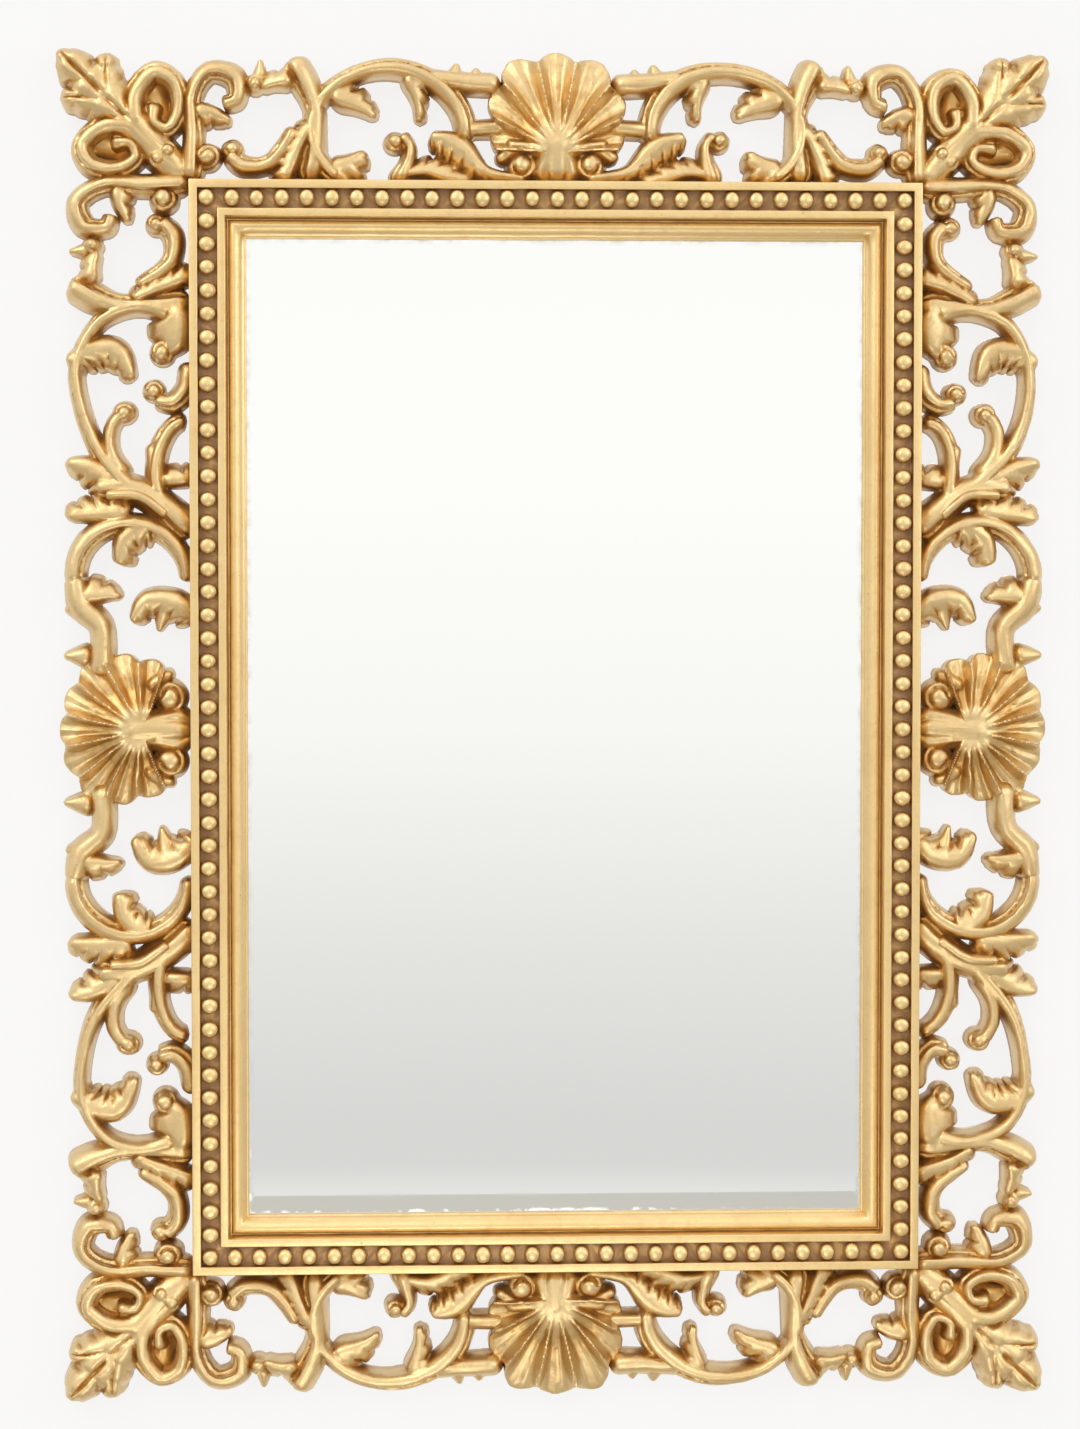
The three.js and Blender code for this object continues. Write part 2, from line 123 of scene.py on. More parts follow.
@dataclass(frozen=True)
class Surface:
    """A mesh as plain arrays.

    Args:
        points: One row of x, y and z for each vertex, in metres.
        faces: The vertex numbers of each face.
    """

    points: np.ndarray
    faces: list[tuple[int, ...]]

    @staticmethod
    def joined(parts: Iterable["Surface"]) -> "Surface":
        """Puts several surfaces in one, each as it is.

        Args:
            parts: The surfaces to put together.

        Returns:
            One surface that holds them all.
        """
        points: list[np.ndarray] = []
        faces: list[tuple[int, ...]] = []
        count = 0
        for part in parts:
            points.append(part.points)
            faces.extend(tuple(i + count for i in face) for face in part.faces)
            count += len(part.points)
        return Surface(np.concatenate(points), faces)

    def to_object(self, name: str) -> bpy.types.Object:
        """Makes a Blender object of the surface, with its faces turned outward.

        Args:
            name: The new object's name.

        Returns:
            The object, linked to the scene.
        """
        mesh = bpy.data.meshes.new(name)
        mesh.from_pydata(self.points.tolist(), [], self.faces)
        work = bmesh.new()
        work.from_mesh(mesh)
        bmesh.ops.recalc_face_normals(work, faces=work.faces)
        work.to_mesh(mesh)
        work.free()
        made = bpy.data.objects.new(name, mesh)
        bpy.context.scene.collection.objects.link(made)
        return made


def lofted(rings: np.ndarray, closed: bool = False) -> Surface:
    """Skins a row of rings.

    Args:
        rings: Points as rings by places round the ring by x, y and z.
        closed: Whether the last ring meets the first, which leaves no ends to cap.

    Returns:
        The closed surface.
    """
    count, sides = rings.shape[:2]
    faces: list[tuple[int, ...]] = []
    for i in range(count if closed else count - 1):
        here, there = i * sides, ((i + 1) % count) * sides
        for j in range(sides):
            k = (j + 1) % sides
            faces.append((here + j, here + k, there + k, there + j))
    if not closed:
        last = (count - 1) * sides
        faces.append(tuple(range(sides))[::-1])
        faces.append(tuple(range(last, last + sides)))
    return Surface(rings.reshape(-1, 3), faces)


def slab(low: Sequence[float], high: Sequence[float], back: float, front: float) -> Surface:
    """A flat upright block.

    Args:
        low: Its lowest x and z.
        high: Its highest x and z.
        back: The place of its back along Y.
        front: The place of its front along Y.

    Returns:
        The block's surface.
    """
    plan = [(low[0], low[1]), (high[0], low[1]), (high[0], high[1]), (low[0], high[1])]
    return lofted(np.array([[(x, y, z) for x, z in plan] for y in (back, front)]))


def bell(value: np.ndarray, centre: float | np.ndarray, spread: float) -> np.ndarray:
    """A smooth bump of height 1.

    Args:
        value: Where to work it out.
        centre: Where the bump is highest.
        spread: How far out it has fallen to about a third.

    Returns:
        The bump's height at each value.
    """
    return np.exp(-(((value - centre) / spread) ** 2))


def eased(value: np.ndarray, low: float, high: float) -> np.ndarray:
    """Rises smoothly from 0 at one value to 1 at another.

    Args:
        value: Where to work it out.
        low: Where the rise starts.
        high: Where it ends.

    Returns:
        Numbers from 0 to 1.
    """
    share = np.clip((value - low) / (high - low), 0, 1)
    return share * share * (3 - 2 * share)


def wander(points: np.ndarray, wavelength: float, seed: int) -> np.ndarray:
    """A gentle, repeatable unevenness over space, made of a few crossing waves.

    Args:
        points: Places in metres, one row each.
        wavelength: About how far apart the swells are, in metres.
        seed: Which pattern of waves to draw.

    Returns:
        Numbers that mostly lie between -1 and 1.
    """
    draw = np.random.default_rng(seed)
    waves = 7
    total = np.zeros(len(points))
    for _ in range(waves):
        direction = draw.normal(size=3)
        direction /= np.linalg.norm(direction)
        reach = wavelength * draw.uniform(0.7, 1.5)
        total += np.sin(points @ direction * (2 * np.pi / reach) + draw.uniform(0, 2 * np.pi))
    return total / math.sqrt(waves)


# Paths on the master drawing


def through(values: Sequence) -> Path:
    """A smooth run through values at even steps.

    Args:
        values: Points or plain numbers.

    Returns:
        A function of the share of the way from 0 to 1.
    """
    stops = np.array(values, float)
    last = len(stops) - 1

    def at(share: np.ndarray) -> np.ndarray:
        place = np.clip(np.asarray(share, float), 0, 1) * last
        index = np.minimum(place.astype(int), last - 1)
        part = place - index
        if stops.ndim > 1:
            part = part[:, None]
        a, b = stops[np.maximum(index - 1, 0)], stops[index]
        c, d = stops[index + 1], stops[np.minimum(index + 2, last)]
        leave, arrive = (c - a) / 2, (d - b) / 2
        cubic = (2 * b - 2 * c + leave + arrive) * part**3
        square = (3 * c - 3 * b - 2 * leave - arrive) * part**2
        return cubic + square + leave * part + b

    return at


def oval(centre: Point, radii: Point, start: float, end: float) -> Path:
    """Part of an oval, from 0 degrees at its outward side toward 90 at its upper side.

    Args:
        centre: The oval's middle.
        radii: Its radius outward and upward.
        start: The angle at the path's start, in degrees.
        end: The angle at its end.

    Returns:
        The path.
    """

    def at(share: np.ndarray) -> np.ndarray:
        angle = np.radians(start + (end - start) * np.asarray(share))
        u = centre[0] + radii[0] * np.cos(angle)
        v = centre[1] + radii[1] * np.sin(angle)
        return np.stack([u, v], 1)

    return at


def bow(start: Point, end: Point, rise: float = 0.0) -> Path:
    """A shallow curve from one point to another that swells to its left.

    Args:
        start: Where it begins.
        end: Where it ends.
        rise: How far it swells at the middle.

    Returns:
        The path.
    """
    a, b = np.array(start, float), np.array(end, float)
    aside = np.array([a[1] - b[1], b[0] - a[0]]) / np.linalg.norm(b - a)

    def at(share: np.ndarray) -> np.ndarray:
        share = np.asarray(share)[:, None]
        return a + (b - a) * share + aside * (4 * rise * share * (1 - share))

    return at


def across_diagonal(path: Path) -> Path:
    """Gives the same path on the other side of the corner's diagonal."""

    def at(share: np.ndarray) -> np.ndarray:
        u, v = path(share).T
        return np.stack([v - DRAWN_DIAGONAL, u + DRAWN_DIAGONAL], 1)

    return at


@dataclass(frozen=True)
class Layout:
    """Carries the master drawing onto the frame.

    Args:
        inner: Half the size of the moulding's outside, across and up, in metres.
        band: The width of the carved band outside it.
        depth: How far the carving stands out from the wall.
    """

    inner: np.ndarray
    band: float
    depth: float

    @property
    def scale(self) -> float:
        """Metres on the frame for each millimetre of the drawing's band."""
        return self.band / DRAWN_BAND

    def place(self, drawn: np.ndarray) -> np.ndarray:
        """Moves points of the drawing to the frame.

        Args:
            drawn: Rows of u and v in millimetres.

        Returns:
            Rows of x and z in metres.
        """
        size = np.abs(drawn)
        inside = size * self.inner / DRAWN_INNER
        beyond = self.inner + (size - DRAWN_INNER) * self.scale
        return np.where(size <= DRAWN_INNER, inside, beyond) * np.sign(drawn)


# Carved forms. Heights are shares of the carving's depth, and widths are in millimetres.


@dataclass(frozen=True)
class Stroke:
    """A stem or leaf that runs along a path.

    Args:
        path: Its middle line on the drawing.
        widths: Its widths at even steps from start to end.
        heights: Its height above the wall at its start and its end.
        section: Its shape across.
        blunt: How far its ends round off, as a share of the width there.
        finger: How long each finger of a leaf's edge is, in millimetres.
        step: How far apart its rings are, in millimetres.
        sides: How many points each ring has.
        shoulder: How much of the crest's height is left at the very ends.
    """

    path: Path
    widths: tuple[float, ...]
    heights: Point = (0.75, 0.7)
    section: Section = Section.REED
    blunt: float = 0.42
    finger: float = 11.0
    step: float = 1.2
    sides: int = 31
    shoulder: float = 0.45

    def mirrored(self) -> "Stroke":
        """The same stroke across the corner's diagonal, with its reed on the other edge."""
        swap = {
            Section.REED: Section.REED_RIGHT,
            Section.REED_RIGHT: Section.REED,
            Section.HALF_LEAF: Section.HALF_LEAF_RIGHT,
            Section.HALF_LEAF_RIGHT: Section.HALF_LEAF,
        }
        section = swap.get(self.section, self.section)
        return replace(self, path=across_diagonal(self.path), section=section)

    def relief(
        self, across: np.ndarray, along: np.ndarray, length: float
    ) -> tuple[np.ndarray, np.ndarray]:
        """Works out the carved surface of the stroke.

        Args:
            across: Places over the width, from -1 at the right edge to 1 at the left.
            along: The distance of each ring from the start, in millimetres.
            length: The stroke's whole length in millimetres.

        Returns:
            The height as a share of the crest's and the share of the width kept, both ring by
            place.
        """
        section = self.section
        side = -1.0 if section in (Section.REED_RIGHT, Section.HALF_LEAF_RIGHT) else 1.0
        toward = (across * side)[None, :]
        share = (along / length)[:, None]
        notches = self.fingers(share - FINGER_LEAN, length)
        if section in (Section.HALF_LEAF, Section.HALF_LEAF_RIGHT):
            crest = HALF_LEAF_CREST
            reach = np.where(toward < crest, 1 + crest, 1 - crest)
            toward_edge = (toward - crest) / reach
            shape = np.maximum(1 - np.abs(toward_edge) ** LEAF_SQUARENESS, 0) ** 0.5
            fingers = self.fingers(share - FINGER_LEAN * toward, length)
            shape = shape * (1 - FINGER_DEPTH * fingers * eased(toward, crest + 0.15, 0.9))
            kept = 1 - HALF_LEAF_NOTCH * notches * (toward > 0)
            return shape, kept
        shape = np.maximum(1 - np.abs(toward) ** STEM_SQUARENESS, 0) ** 0.5 * np.ones_like(share)
        kept = np.ones_like(shape)
        if section in (Section.REED, Section.REED_RIGHT):
            groove = REED_DEPTH * bell(toward, REED_AT, CUT_WIDTH)
            shape = shape * (1 - groove - REED_STEP * eased(toward, REED_STEP_FROM, REED_STEP_TO))
        elif section is Section.LEAF:
            edgeward = np.abs(toward)
            fingers = self.fingers(share - FINGER_LEAN * edgeward, length)
            shape = shape * (1 - VEIN_DEPTH * bell(toward, 0, CUT_WIDTH))
            shape = shape * (1 - FINGER_DEPTH * fingers * edgeward**1.3)
            kept = kept * (1 - LEAF_NOTCH * notches)
        elif section is Section.FAN:
            splits = bell(toward, FAN_SPLIT_AT, CUT_WIDTH) + bell(toward, -FAN_SPLIT_AT, CUT_WIDTH)
            shape = shape * (1 - FAN_SPLIT_DEPTH * splits * eased(share, FAN_SPLIT_FROM, FAN_SPLIT_TO))
        return shape, kept

    def fingers(self, share: np.ndarray, length: float) -> np.ndarray:
        """Where a leaf's edge is cut between its fingers.

        Args:
            share: Shares of the way along, leaning back toward the edge.
            length: The stroke's whole length in millimetres.

        Returns:
            1 in the middle of each cut and 0 over most of each finger.
        """
        count = max(2, round(length / self.finger))
        return (0.5 - 0.5 * np.cos(2 * np.pi * share * count)) ** FINGER_SHARPNESS

    def carve(self, layout: Layout) -> Surface:
        """Makes the stroke's closed surface on the frame.

        Args:
            layout: Where the drawing lies on the frame.

        Returns:
            The surface, flat at the wall.
        """
        rough = layout.place(self.path(np.linspace(0, 1, 60)))
        length = float(np.linalg.norm(np.diff(rough, axis=0), axis=1).sum()) / layout.scale
        count = max(8, math.ceil(length / self.step))
        share = np.linspace(0, 1, count + 1)
        middle = layout.place(self.path(share))
        run = np.gradient(middle, axis=0)
        run /= np.linalg.norm(run, axis=1, keepdims=True)
        aside = np.stack([-run[:, 1], run[:, 0]], 1)
        along = share * length
        width = through(self.widths)(share)
        across = np.sin(np.linspace(-math.pi / 2, math.pi / 2, self.sides))
        shape, kept = self.relief(across, along, length)
        ends = self.rounded_ends(along, length)
        crest = self.heights[0] + (self.heights[1] - self.heights[0]) * share
        left = self.shoulder + (1 - self.shoulder) * ends
        height = shape * (crest * left)[:, None] * layout.depth
        half = width / 2 * ends * layout.scale
        reach = half[:, None] * kept * across[None, :]
        flat = middle[:, None, :] + aside[:, None, :] * reach[:, :, None]
        rings = np.stack([flat[..., 0], -height, flat[..., 1]], 2)
        return lofted(rings)

    def rounded_ends(self, along: np.ndarray, length: float) -> np.ndarray:
        """The share of the width left near each end, where the carving rounds off.

        Args:
            along: The distance of each ring from the start, in millimetres.
            length: The stroke's whole length.

        Returns:
            Shares from nearly 0 at the ends to 1.
        """
        left = np.ones(len(along))
        for width, distance in ((self.widths[0], along), (self.widths[-1], length - along)):
            radius = min(self.blunt * width, 0.3 * length)
            inward = np.clip(distance / radius, 0, 1)
            left = np.minimum(left, np.sqrt(np.clip(1 - (1 - inward) ** 2, 0.01, 1)))
        return left


def spur(start: Point, end: Point, width: float, height: float = 0.62) -> Stroke:
    """A short leaf that tapers to a blunt point.

    Args:
        start: The middle of its root.
        end: Its tip.
        width: Its width at the root.
        height: Its height there.

    Returns:
        The stroke.
    """
    taper = (width, width * 0.68, width * 0.24)
    return Stroke(bow(start, end), taper, (height, height * 0.8), Section.ROUND)


@dataclass(frozen=True)
class Knob:
    """A round volute end with a spiral cut in its face.

    Args:
        middle: Its middle on the drawing.
        radius: Its radius in millimetres.
        height: Its height above the wall, as a share of the carving's depth.
        turn: Which way the spiral winds, 1 or -1.
        sides: How many points each ring has.
        rings: How many rings lie between its foot and its crown.
    """

    middle: Point
    radius: float
    height: float = 0.85
    turn: float = 1.0
    sides: int = 48
    rings: int = 14

    def mirrored(self) -> "Knob":
        """The same knob across the corner's diagonal."""
        u, v = self.middle
        return replace(self, middle=(v - DRAWN_DIAGONAL, u + DRAWN_DIAGONAL), turn=-self.turn)

    def carve(self, layout: Layout) -> Surface:
        """Makes the knob's closed surface on the frame.

        Args:
            layout: Where the drawing lies on the frame.

        Returns:
            The surface, flat at the wall.
        """
        x, z = layout.place(np.array([self.middle]))[0]
        angle = np.linspace(0, 2 * math.pi, self.sides, endpoint=False)
        out = np.sin(np.linspace(math.pi / 2, 0.02, self.rings))
        rings = [np.stack([angle, np.full(self.sides, 1.0), np.zeros(self.sides)], 1)]
        for share in out:
            wound = (self.turn * angle / (2 * math.pi)) % 1
            groove = bell(share, SPIRAL_FROM + SPIRAL_GROWTH * wound, SPIRAL_WIDTH)
            groove = groove * (share < KNOB_FLAT_EDGE)
            dome = max(1 - share**STEM_SQUARENESS, 0.0) ** 0.5 * (1 - SPIRAL_DEPTH * groove)
            rings.append(np.stack([angle, np.full(self.sides, share), dome], 1))
        shape = np.array(rings)
        wide = self.radius * layout.scale
        points = np.stack([
            x + wide * shape[..., 1] * np.cos(shape[..., 0]),
            -shape[..., 2] * self.height * layout.depth,
            z + wide * shape[..., 1] * np.sin(shape[..., 0]),
        ], 2)
        return lofted(points)


@dataclass(frozen=True)
class Shell:
    """A scallop shell whose flutes fan out from a boss.

    Args:
        root: Where the fan opens from, on the drawing.
        direction: The way it opens, as a unit vector on the drawing.
        reach: How far each flute reaches, from the middle one to the outermost, in millimetres.
        flute_angle: The angle from one flute to the next, in degrees.
        ridge_draw_in: How far the ridges between flutes reach, as a share of the flutes beside them.
        boss: The radius that the flutes start from.
        rays_each: How many lines of points each flute has.
        steps: How many points each line has.
        lobe_roundness: How round the end of each flute is. Less is rounder.
        flute_depth: How deep the flutes are cut, as a share of the carving's depth.
        flute_squareness: How flat the flutes' floors are.
        flute_from: Where along a flute its cut starts and where it is full.
        deepening: The share of a flute's depth at its root, and what its whole length adds.
        crown: The shell's height at its root, what it swells by, and how far round that swell goes.
        rim_from: Where the ridges start to fall toward the rim.
        rim_fall: How far they fall.
        rib: The height of the fine rib in each flute.
    """

    root: Point
    direction: Point
    reach: tuple[float, ...]
    flute_angle: float = 25.0
    ridge_draw_in: float = 0.9
    boss: float = 8.0
    rays_each: int = 14
    steps: int = 44
    lobe_roundness: float = 0.8
    flute_depth: float = 0.5
    flute_squareness: float = 3.4
    flute_from: Point = (0.02, 0.5)
    deepening: Point = (0.5, 0.6)
    crown: Triple = (0.84, 0.14, 0.72)
    rim_from: float = 0.8
    rim_fall: float = 0.1
    rib: float = 0.05

    def carve(self, layout: Layout) -> Surface:
        """Makes the shell's closed surface on the frame.

        Args:
            layout: Where the drawing lies on the frame.

        Returns:
            The surface, flat at the wall.
        """
        flutes = 2 * len(self.reach) - 1
        ray = np.linspace(-flutes / 2, flutes / 2, flutes * self.rays_each + 1)
        nearest = np.clip(np.round(np.abs(ray)), 0, len(self.reach) - 1).astype(int)
        lengths = np.array(self.reach)
        beyond = np.clip(nearest + np.where(np.abs(ray) > nearest, 1, -1), 0, len(self.reach) - 1)
        ridge_reach = (lengths[nearest] + lengths[beyond]) / 2 * self.ridge_draw_in
        offset = np.clip(2 * np.abs(np.abs(ray) - nearest), 0, 1)
        lobe = np.cos(offset * math.pi / 2) ** self.lobe_roundness
        reach = ridge_reach + (lengths[nearest] - ridge_reach) * lobe
        share = np.linspace(0, 1, self.steps)
        hollow = 1 - offset**self.flute_squareness
        hollow = hollow[:, None] * eased(share, *self.flute_from)[None, :]
        rim = eased(share, self.rim_from, 1.0)[None, :]
        start, rise, turn = self.crown
        shallow, deeper = self.deepening
        swell = start + rise * np.sin(share * math.pi * turn)[None, :]
        height = swell - self.flute_depth * hollow * (shallow + deeper * share[None, :])
        height = height - self.rim_fall * rim * (1 - hollow)
        rib = bell(offset, 0, 0.2)[:, None] * eased(share, 0.25, 0.5)[None, :]
        height = height + self.rib * rib
        radius = (self.boss + (reach[:, None] - self.boss) * share[None, :]) * layout.scale
        angle = np.radians(ray * self.flute_angle)[:, None]
        forward, aside = radius * np.cos(angle), radius * np.sin(angle)
        x, z = layout.place(np.array([self.root]))[0]
        du, dv = self.direction
        flat_x = x + du * forward - dv * aside
        flat_z = z + dv * forward + du * aside
        top = np.stack([flat_x, -height * layout.depth, flat_z], 2)
        foot = top * np.array([1, 0, 1])
        rings = np.concatenate([foot[:, :1], top, foot[:, ::-1][:, :1]], 1)
        return lofted(rings)


Form = Stroke | Knob | Shell


def corner_half() -> list[Form]:
    """One half of a corner, from the diagonal to the trunk that carries the first big scroll."""
    right, plain, leaf = Section.REED_RIGHT, Section.ROUND, Section.LEAF
    half, half_right = Section.HALF_LEAF, Section.HALF_LEAF_RIGHT
    ear = [
        (324, 462), (325, 488), (311, 506), (295, 499), (291, 480), (299, 464), (311, 468), (311, 483)
    ]
    hook = [(281, 424), (280, 456), (281, 488), (268, 508), (249, 504), (248, 488), (258, 484)]
    trunk = [(204, 517), (194, 499), (188, 480), (188, 458), (191, 424)]
    curl = [(253, 445), (241, 436), (221, 440), (203, 465)]
    return [
        Stroke(
            bow((341, 468), (346, 521.5), -2), (24, 29, 24), (0.84, 0.93), leaf, blunt=0.4, finger=25
        ),
        Stroke(through(ear), (20, 20, 18, 17, 16, 14, 12, 17), (0.88, 0.84), right),
        Stroke(bow((309, 458), (310, 500)), (22, 24, 16), (0.5, 0.4), plain),
        Stroke(through(hook), (19, 18, 16, 16, 19, 15, 13)),
        Stroke(bow((282, 474), (253, 468), -3), (24, 19, 9), (0.7, 0.56), half),
        Knob((269, 442), 11),
        spur((229, 500), (228, 516), 15),
        Knob((233, 498), 8, 0.76),
        Stroke(bow((231, 495), (201, 501), -3), (13, 17, 21), (0.68, 0.82), half_right),
        Stroke(through(trunk), (24, 24, 18, 19, 27), (0.86, 0.76)),
        Stroke(through(curl), (15, 17, 16, 15, 12), (0.7, 0.74), right),
        Knob((251, 448), 8.5, 0.76, -1),
        Stroke(bow((192, 470), (214, 421), 3), (15, 20, 21), (0.8, 0.68), half),
        Knob((300, 447), 9, 0.84),
    ]


def corner_leaf() -> list[Form]:
    """The corner's own leaf, which springs from the moulding's corner along the diagonal."""
    return [
        Stroke(bow((285, 425), (336, 476)), (26, 30, 34, 38), (0.66, 0.88), Section.ROUND),
        Stroke(
            bow((326, 466), (382, 522)),
            (34, 44, 40, 20),
            (0.88, 1.0),
            Section.LEAF,
            blunt=0.4,
            finger=20,
        ),
    ]


def top_half() -> list[Form]:
    """Half of the top, from the trunk to the shell."""
    right, plain = Section.REED_RIGHT, Section.ROUND
    half, half_right = Section.HALF_LEAF, Section.HALF_LEAF_RIGHT
    root = [(124, 422), (117, 438), (115, 451), (122, 460)]
    frond = [(118, 432), (100, 436), (84, 431), (64, 420)]
    blade = [(99, 458), (79, 449), (56, 430), (24, 424)]
    return [
        Stroke(oval((131, 463), (60, 48), -52, 188), (15, 15, 14, 15, 18, 19, 17), (0.82, 0.76), right),
        Stroke(bow((178, 494), (139, 473), -5), (22, 28, 20, 9), (0.76, 0.64), half_right),
        Stroke(bow((112, 510), (107, 469), -3), (26, 22, 13, 10), (0.74, 0.58), half_right),
        Stroke(through(root), (22, 14, 12, 13), (0.72, 0.74), right),
        Knob((126, 455), 8.5, 0.78, -1),
        Stroke(bow((178, 426), (147, 447), 5), (26, 32, 24, 10), (0.74, 0.64), half),
        Stroke(through(frond), (12, 20, 22, 24), (0.66, 0.68), half_right),
        Stroke(through(blade), (12, 28, 16, 14), (0.7, 0.72), half),
        Stroke(bow((98, 505), (42, 500), 2), (14, 18, 19), (0.7, 0.68), plain),
        spur((80, 500), (76, 515), 19),
        spur((63, 498), (60, 512), 19),
        Stroke(bow((76, 465), (40, 466)), (14, 15), (0.62, 0.62), plain),
    ]


def side_half() -> list[Form]:
    """Half of a side, from the trunk to the shell."""
    right, plain = Section.REED_RIGHT, Section.ROUND
    half, half_right = Section.HALF_LEAF, Section.HALF_LEAF_RIGHT
    scroll = [(298, 322), (325, 327), (354, 315), (370, 285), (367, 248), (354, 216), (328, 186)]
    tongue = [(376, 280), (359, 290), (342, 290), (329, 270)]
    curl = [(284, 284), (287, 264), (298, 253), (311, 255)]
    volute = [(334, 192), (343, 213), (344, 231), (337, 244)]
    branch = [(356, 188), (330, 187), (305, 174), (282, 152)]
    lip = [(314, 154), (331, 147), (337, 127)]
    sprig = [(281, 84), (297, 96), (315, 97), (327, 82)]
    stem = [(373, 118), (369, 96), (353, 78), (353, 42)]
    return [
        Stroke(through(scroll), (20, 16, 13, 13, 15, 20), (0.82, 0.78)),
        Stroke(
            bow((300, 332), (304, 288), -3), (26, 37, 36, 24), (0.84, 0.74), half, blunt=0.55, finger=22
        ),
        Knob((305, 291), 10.5, 0.84, 1),
        Stroke(through(tongue), (18, 27, 27, 10), (0.78, 0.68), half),
        Stroke(through(curl), (17, 18, 17, 14), (0.72, 0.76), right),
        Knob((312, 262), 9, 0.8, 1),
        Stroke(through(volute), (26, 15, 13, 13), (0.74, 0.76), plain),
        Knob((334, 245), 9.5, 0.8, 1),
        Stroke(bow((340, 182), (380, 206), 5), (28, 28, 13), (0.76, 0.66), half_right),
        Stroke(through(branch), (19, 23, 26, 28), (0.8, 0.74)),
        Stroke(through([(347, 182), (322, 181), (300, 166)]), (9, 11, 10), (0.9, 0.84), plain),
        Stroke(bow((328, 172), (380, 166), 3), (24, 27, 15), (0.72, 0.62), half),
        Stroke(oval((288, 200), (22, 39), -35, 92), (17, 16, 15, 14), (0.72, 0.68), right),
        Stroke(bow((309, 182), (313, 221)), (12, 11), (0.66, 0.56), plain),
        Stroke(bow((281, 198), (307, 196)), (21, 19), (0.66, 0.64), half),
        Stroke(oval((330, 118), (43, 42), -8, 184), (17, 18, 17, 16, 13), (0.78, 0.72)),
        Stroke(through(lip), (22, 25, 18), (0.74, 0.64), half_right, blunt=0.25),
        Stroke(through(sprig), (22, 28, 26, 11), (0.74, 0.68), half_right),
        spur((303, 97), (308, 76), 18),
        Stroke(bow((372, 106), (337, 103), -3), (26, 22, 9), (0.74, 0.6), half_right),
        Stroke(through(stem), (18, 21, 20, 21), (0.76, 0.74), plain),
        spur((363, 92), (381.5, 94), 23),
        spur((360, 57), (382.5, 57), 23),
    ]


def shells() -> list[Form]:
    """The top shell and the side shell, each with its root and the volutes beside it."""
    return [
        Shell((0, 446), (0, 1), (78, 79, 66, 53)),
        Shell((322, 0), (1, 0), (63, 64, 67, 60, 54)),
        Stroke(bow((0, 464), (0, 421)), (26, 50), (0.94, 0.74), Section.FAN, blunt=0.5),
        Stroke(bow((340, 0), (281, 0)), (26, 46), (0.94, 0.74), Section.FAN, blunt=0.5),
        Knob((27, 437), 13, 0.84, -1),
        Stroke(bow((20, 453), (47, 440), 2), (16, 11), (0.8, 0.7), Section.ROUND),
        Stroke(bow((8, 446), (40, 452), 2), (12, 10), (0.86, 0.76), Section.ROUND),
        Knob((300, 25), 14),
        Stroke(bow((318, 30), (296, 42), -3), (14, 10), (0.74, 0.62), Section.ROUND),
    ]


def applied(item: bpy.types.Object) -> None:
    """Bakes an object's modifiers into its mesh.

    Args:
        item: The object to change.
    """
    graph = bpy.context.evaluated_depsgraph_get()
    made = bpy.data.meshes.new_from_object(item.evaluated_get(graph))
    old = item.data
    item.modifiers.clear()
    item.data = made
    bpy.data.meshes.remove(old)


def vertices_of(item: bpy.types.Object) -> tuple[np.ndarray, np.ndarray]:
    """Reads an object's vertices.

    Args:
        item: The object.

    Returns:
        Their places and their normals, one row each.
    """
    found = []
    for values, name in ((item.data.vertices, "co"), (item.data.vertex_normals, "vector")):
        flat = np.empty(len(item.data.vertices) * 3, np.float32)
        values.foreach_get(name, flat)
        found.append(flat.reshape(-1, 3).astype(float))
    return found[0], found[1]


def write_layer(item: bpy.types.Object, name: str, values: np.ndarray) -> None:
    """Stores one number for each vertex, kept between 0 and 1.

    Args:
        item: The object that gets the attribute.
        name: The attribute that the materials read.
        values: The numbers.
    """
    layer = item.data.attributes.new(name, "FLOAT", "POINT")
    layer.data.foreach_set("value", np.clip(values, 0, 1).astype(np.float32))


def write_places(item: bpy.types.Object, points: np.ndarray) -> None:
    """Moves the object's vertices to new places.

    Args:
        item: The object to change.
        points: One row for each vertex.
    """
    item.data.vertices.foreach_set("co", points.astype(np.float32).ravel())
    item.data.update()


def tree_of(item: bpy.types.Object) -> BVHTree:
    """A search tree over the object's faces, for casting rays at it."""
    faces = [tuple(face.vertices) for face in item.data.polygons]
    return BVHTree.FromPolygons([tuple(p) for p in vertices_of(item)[0]], faces)


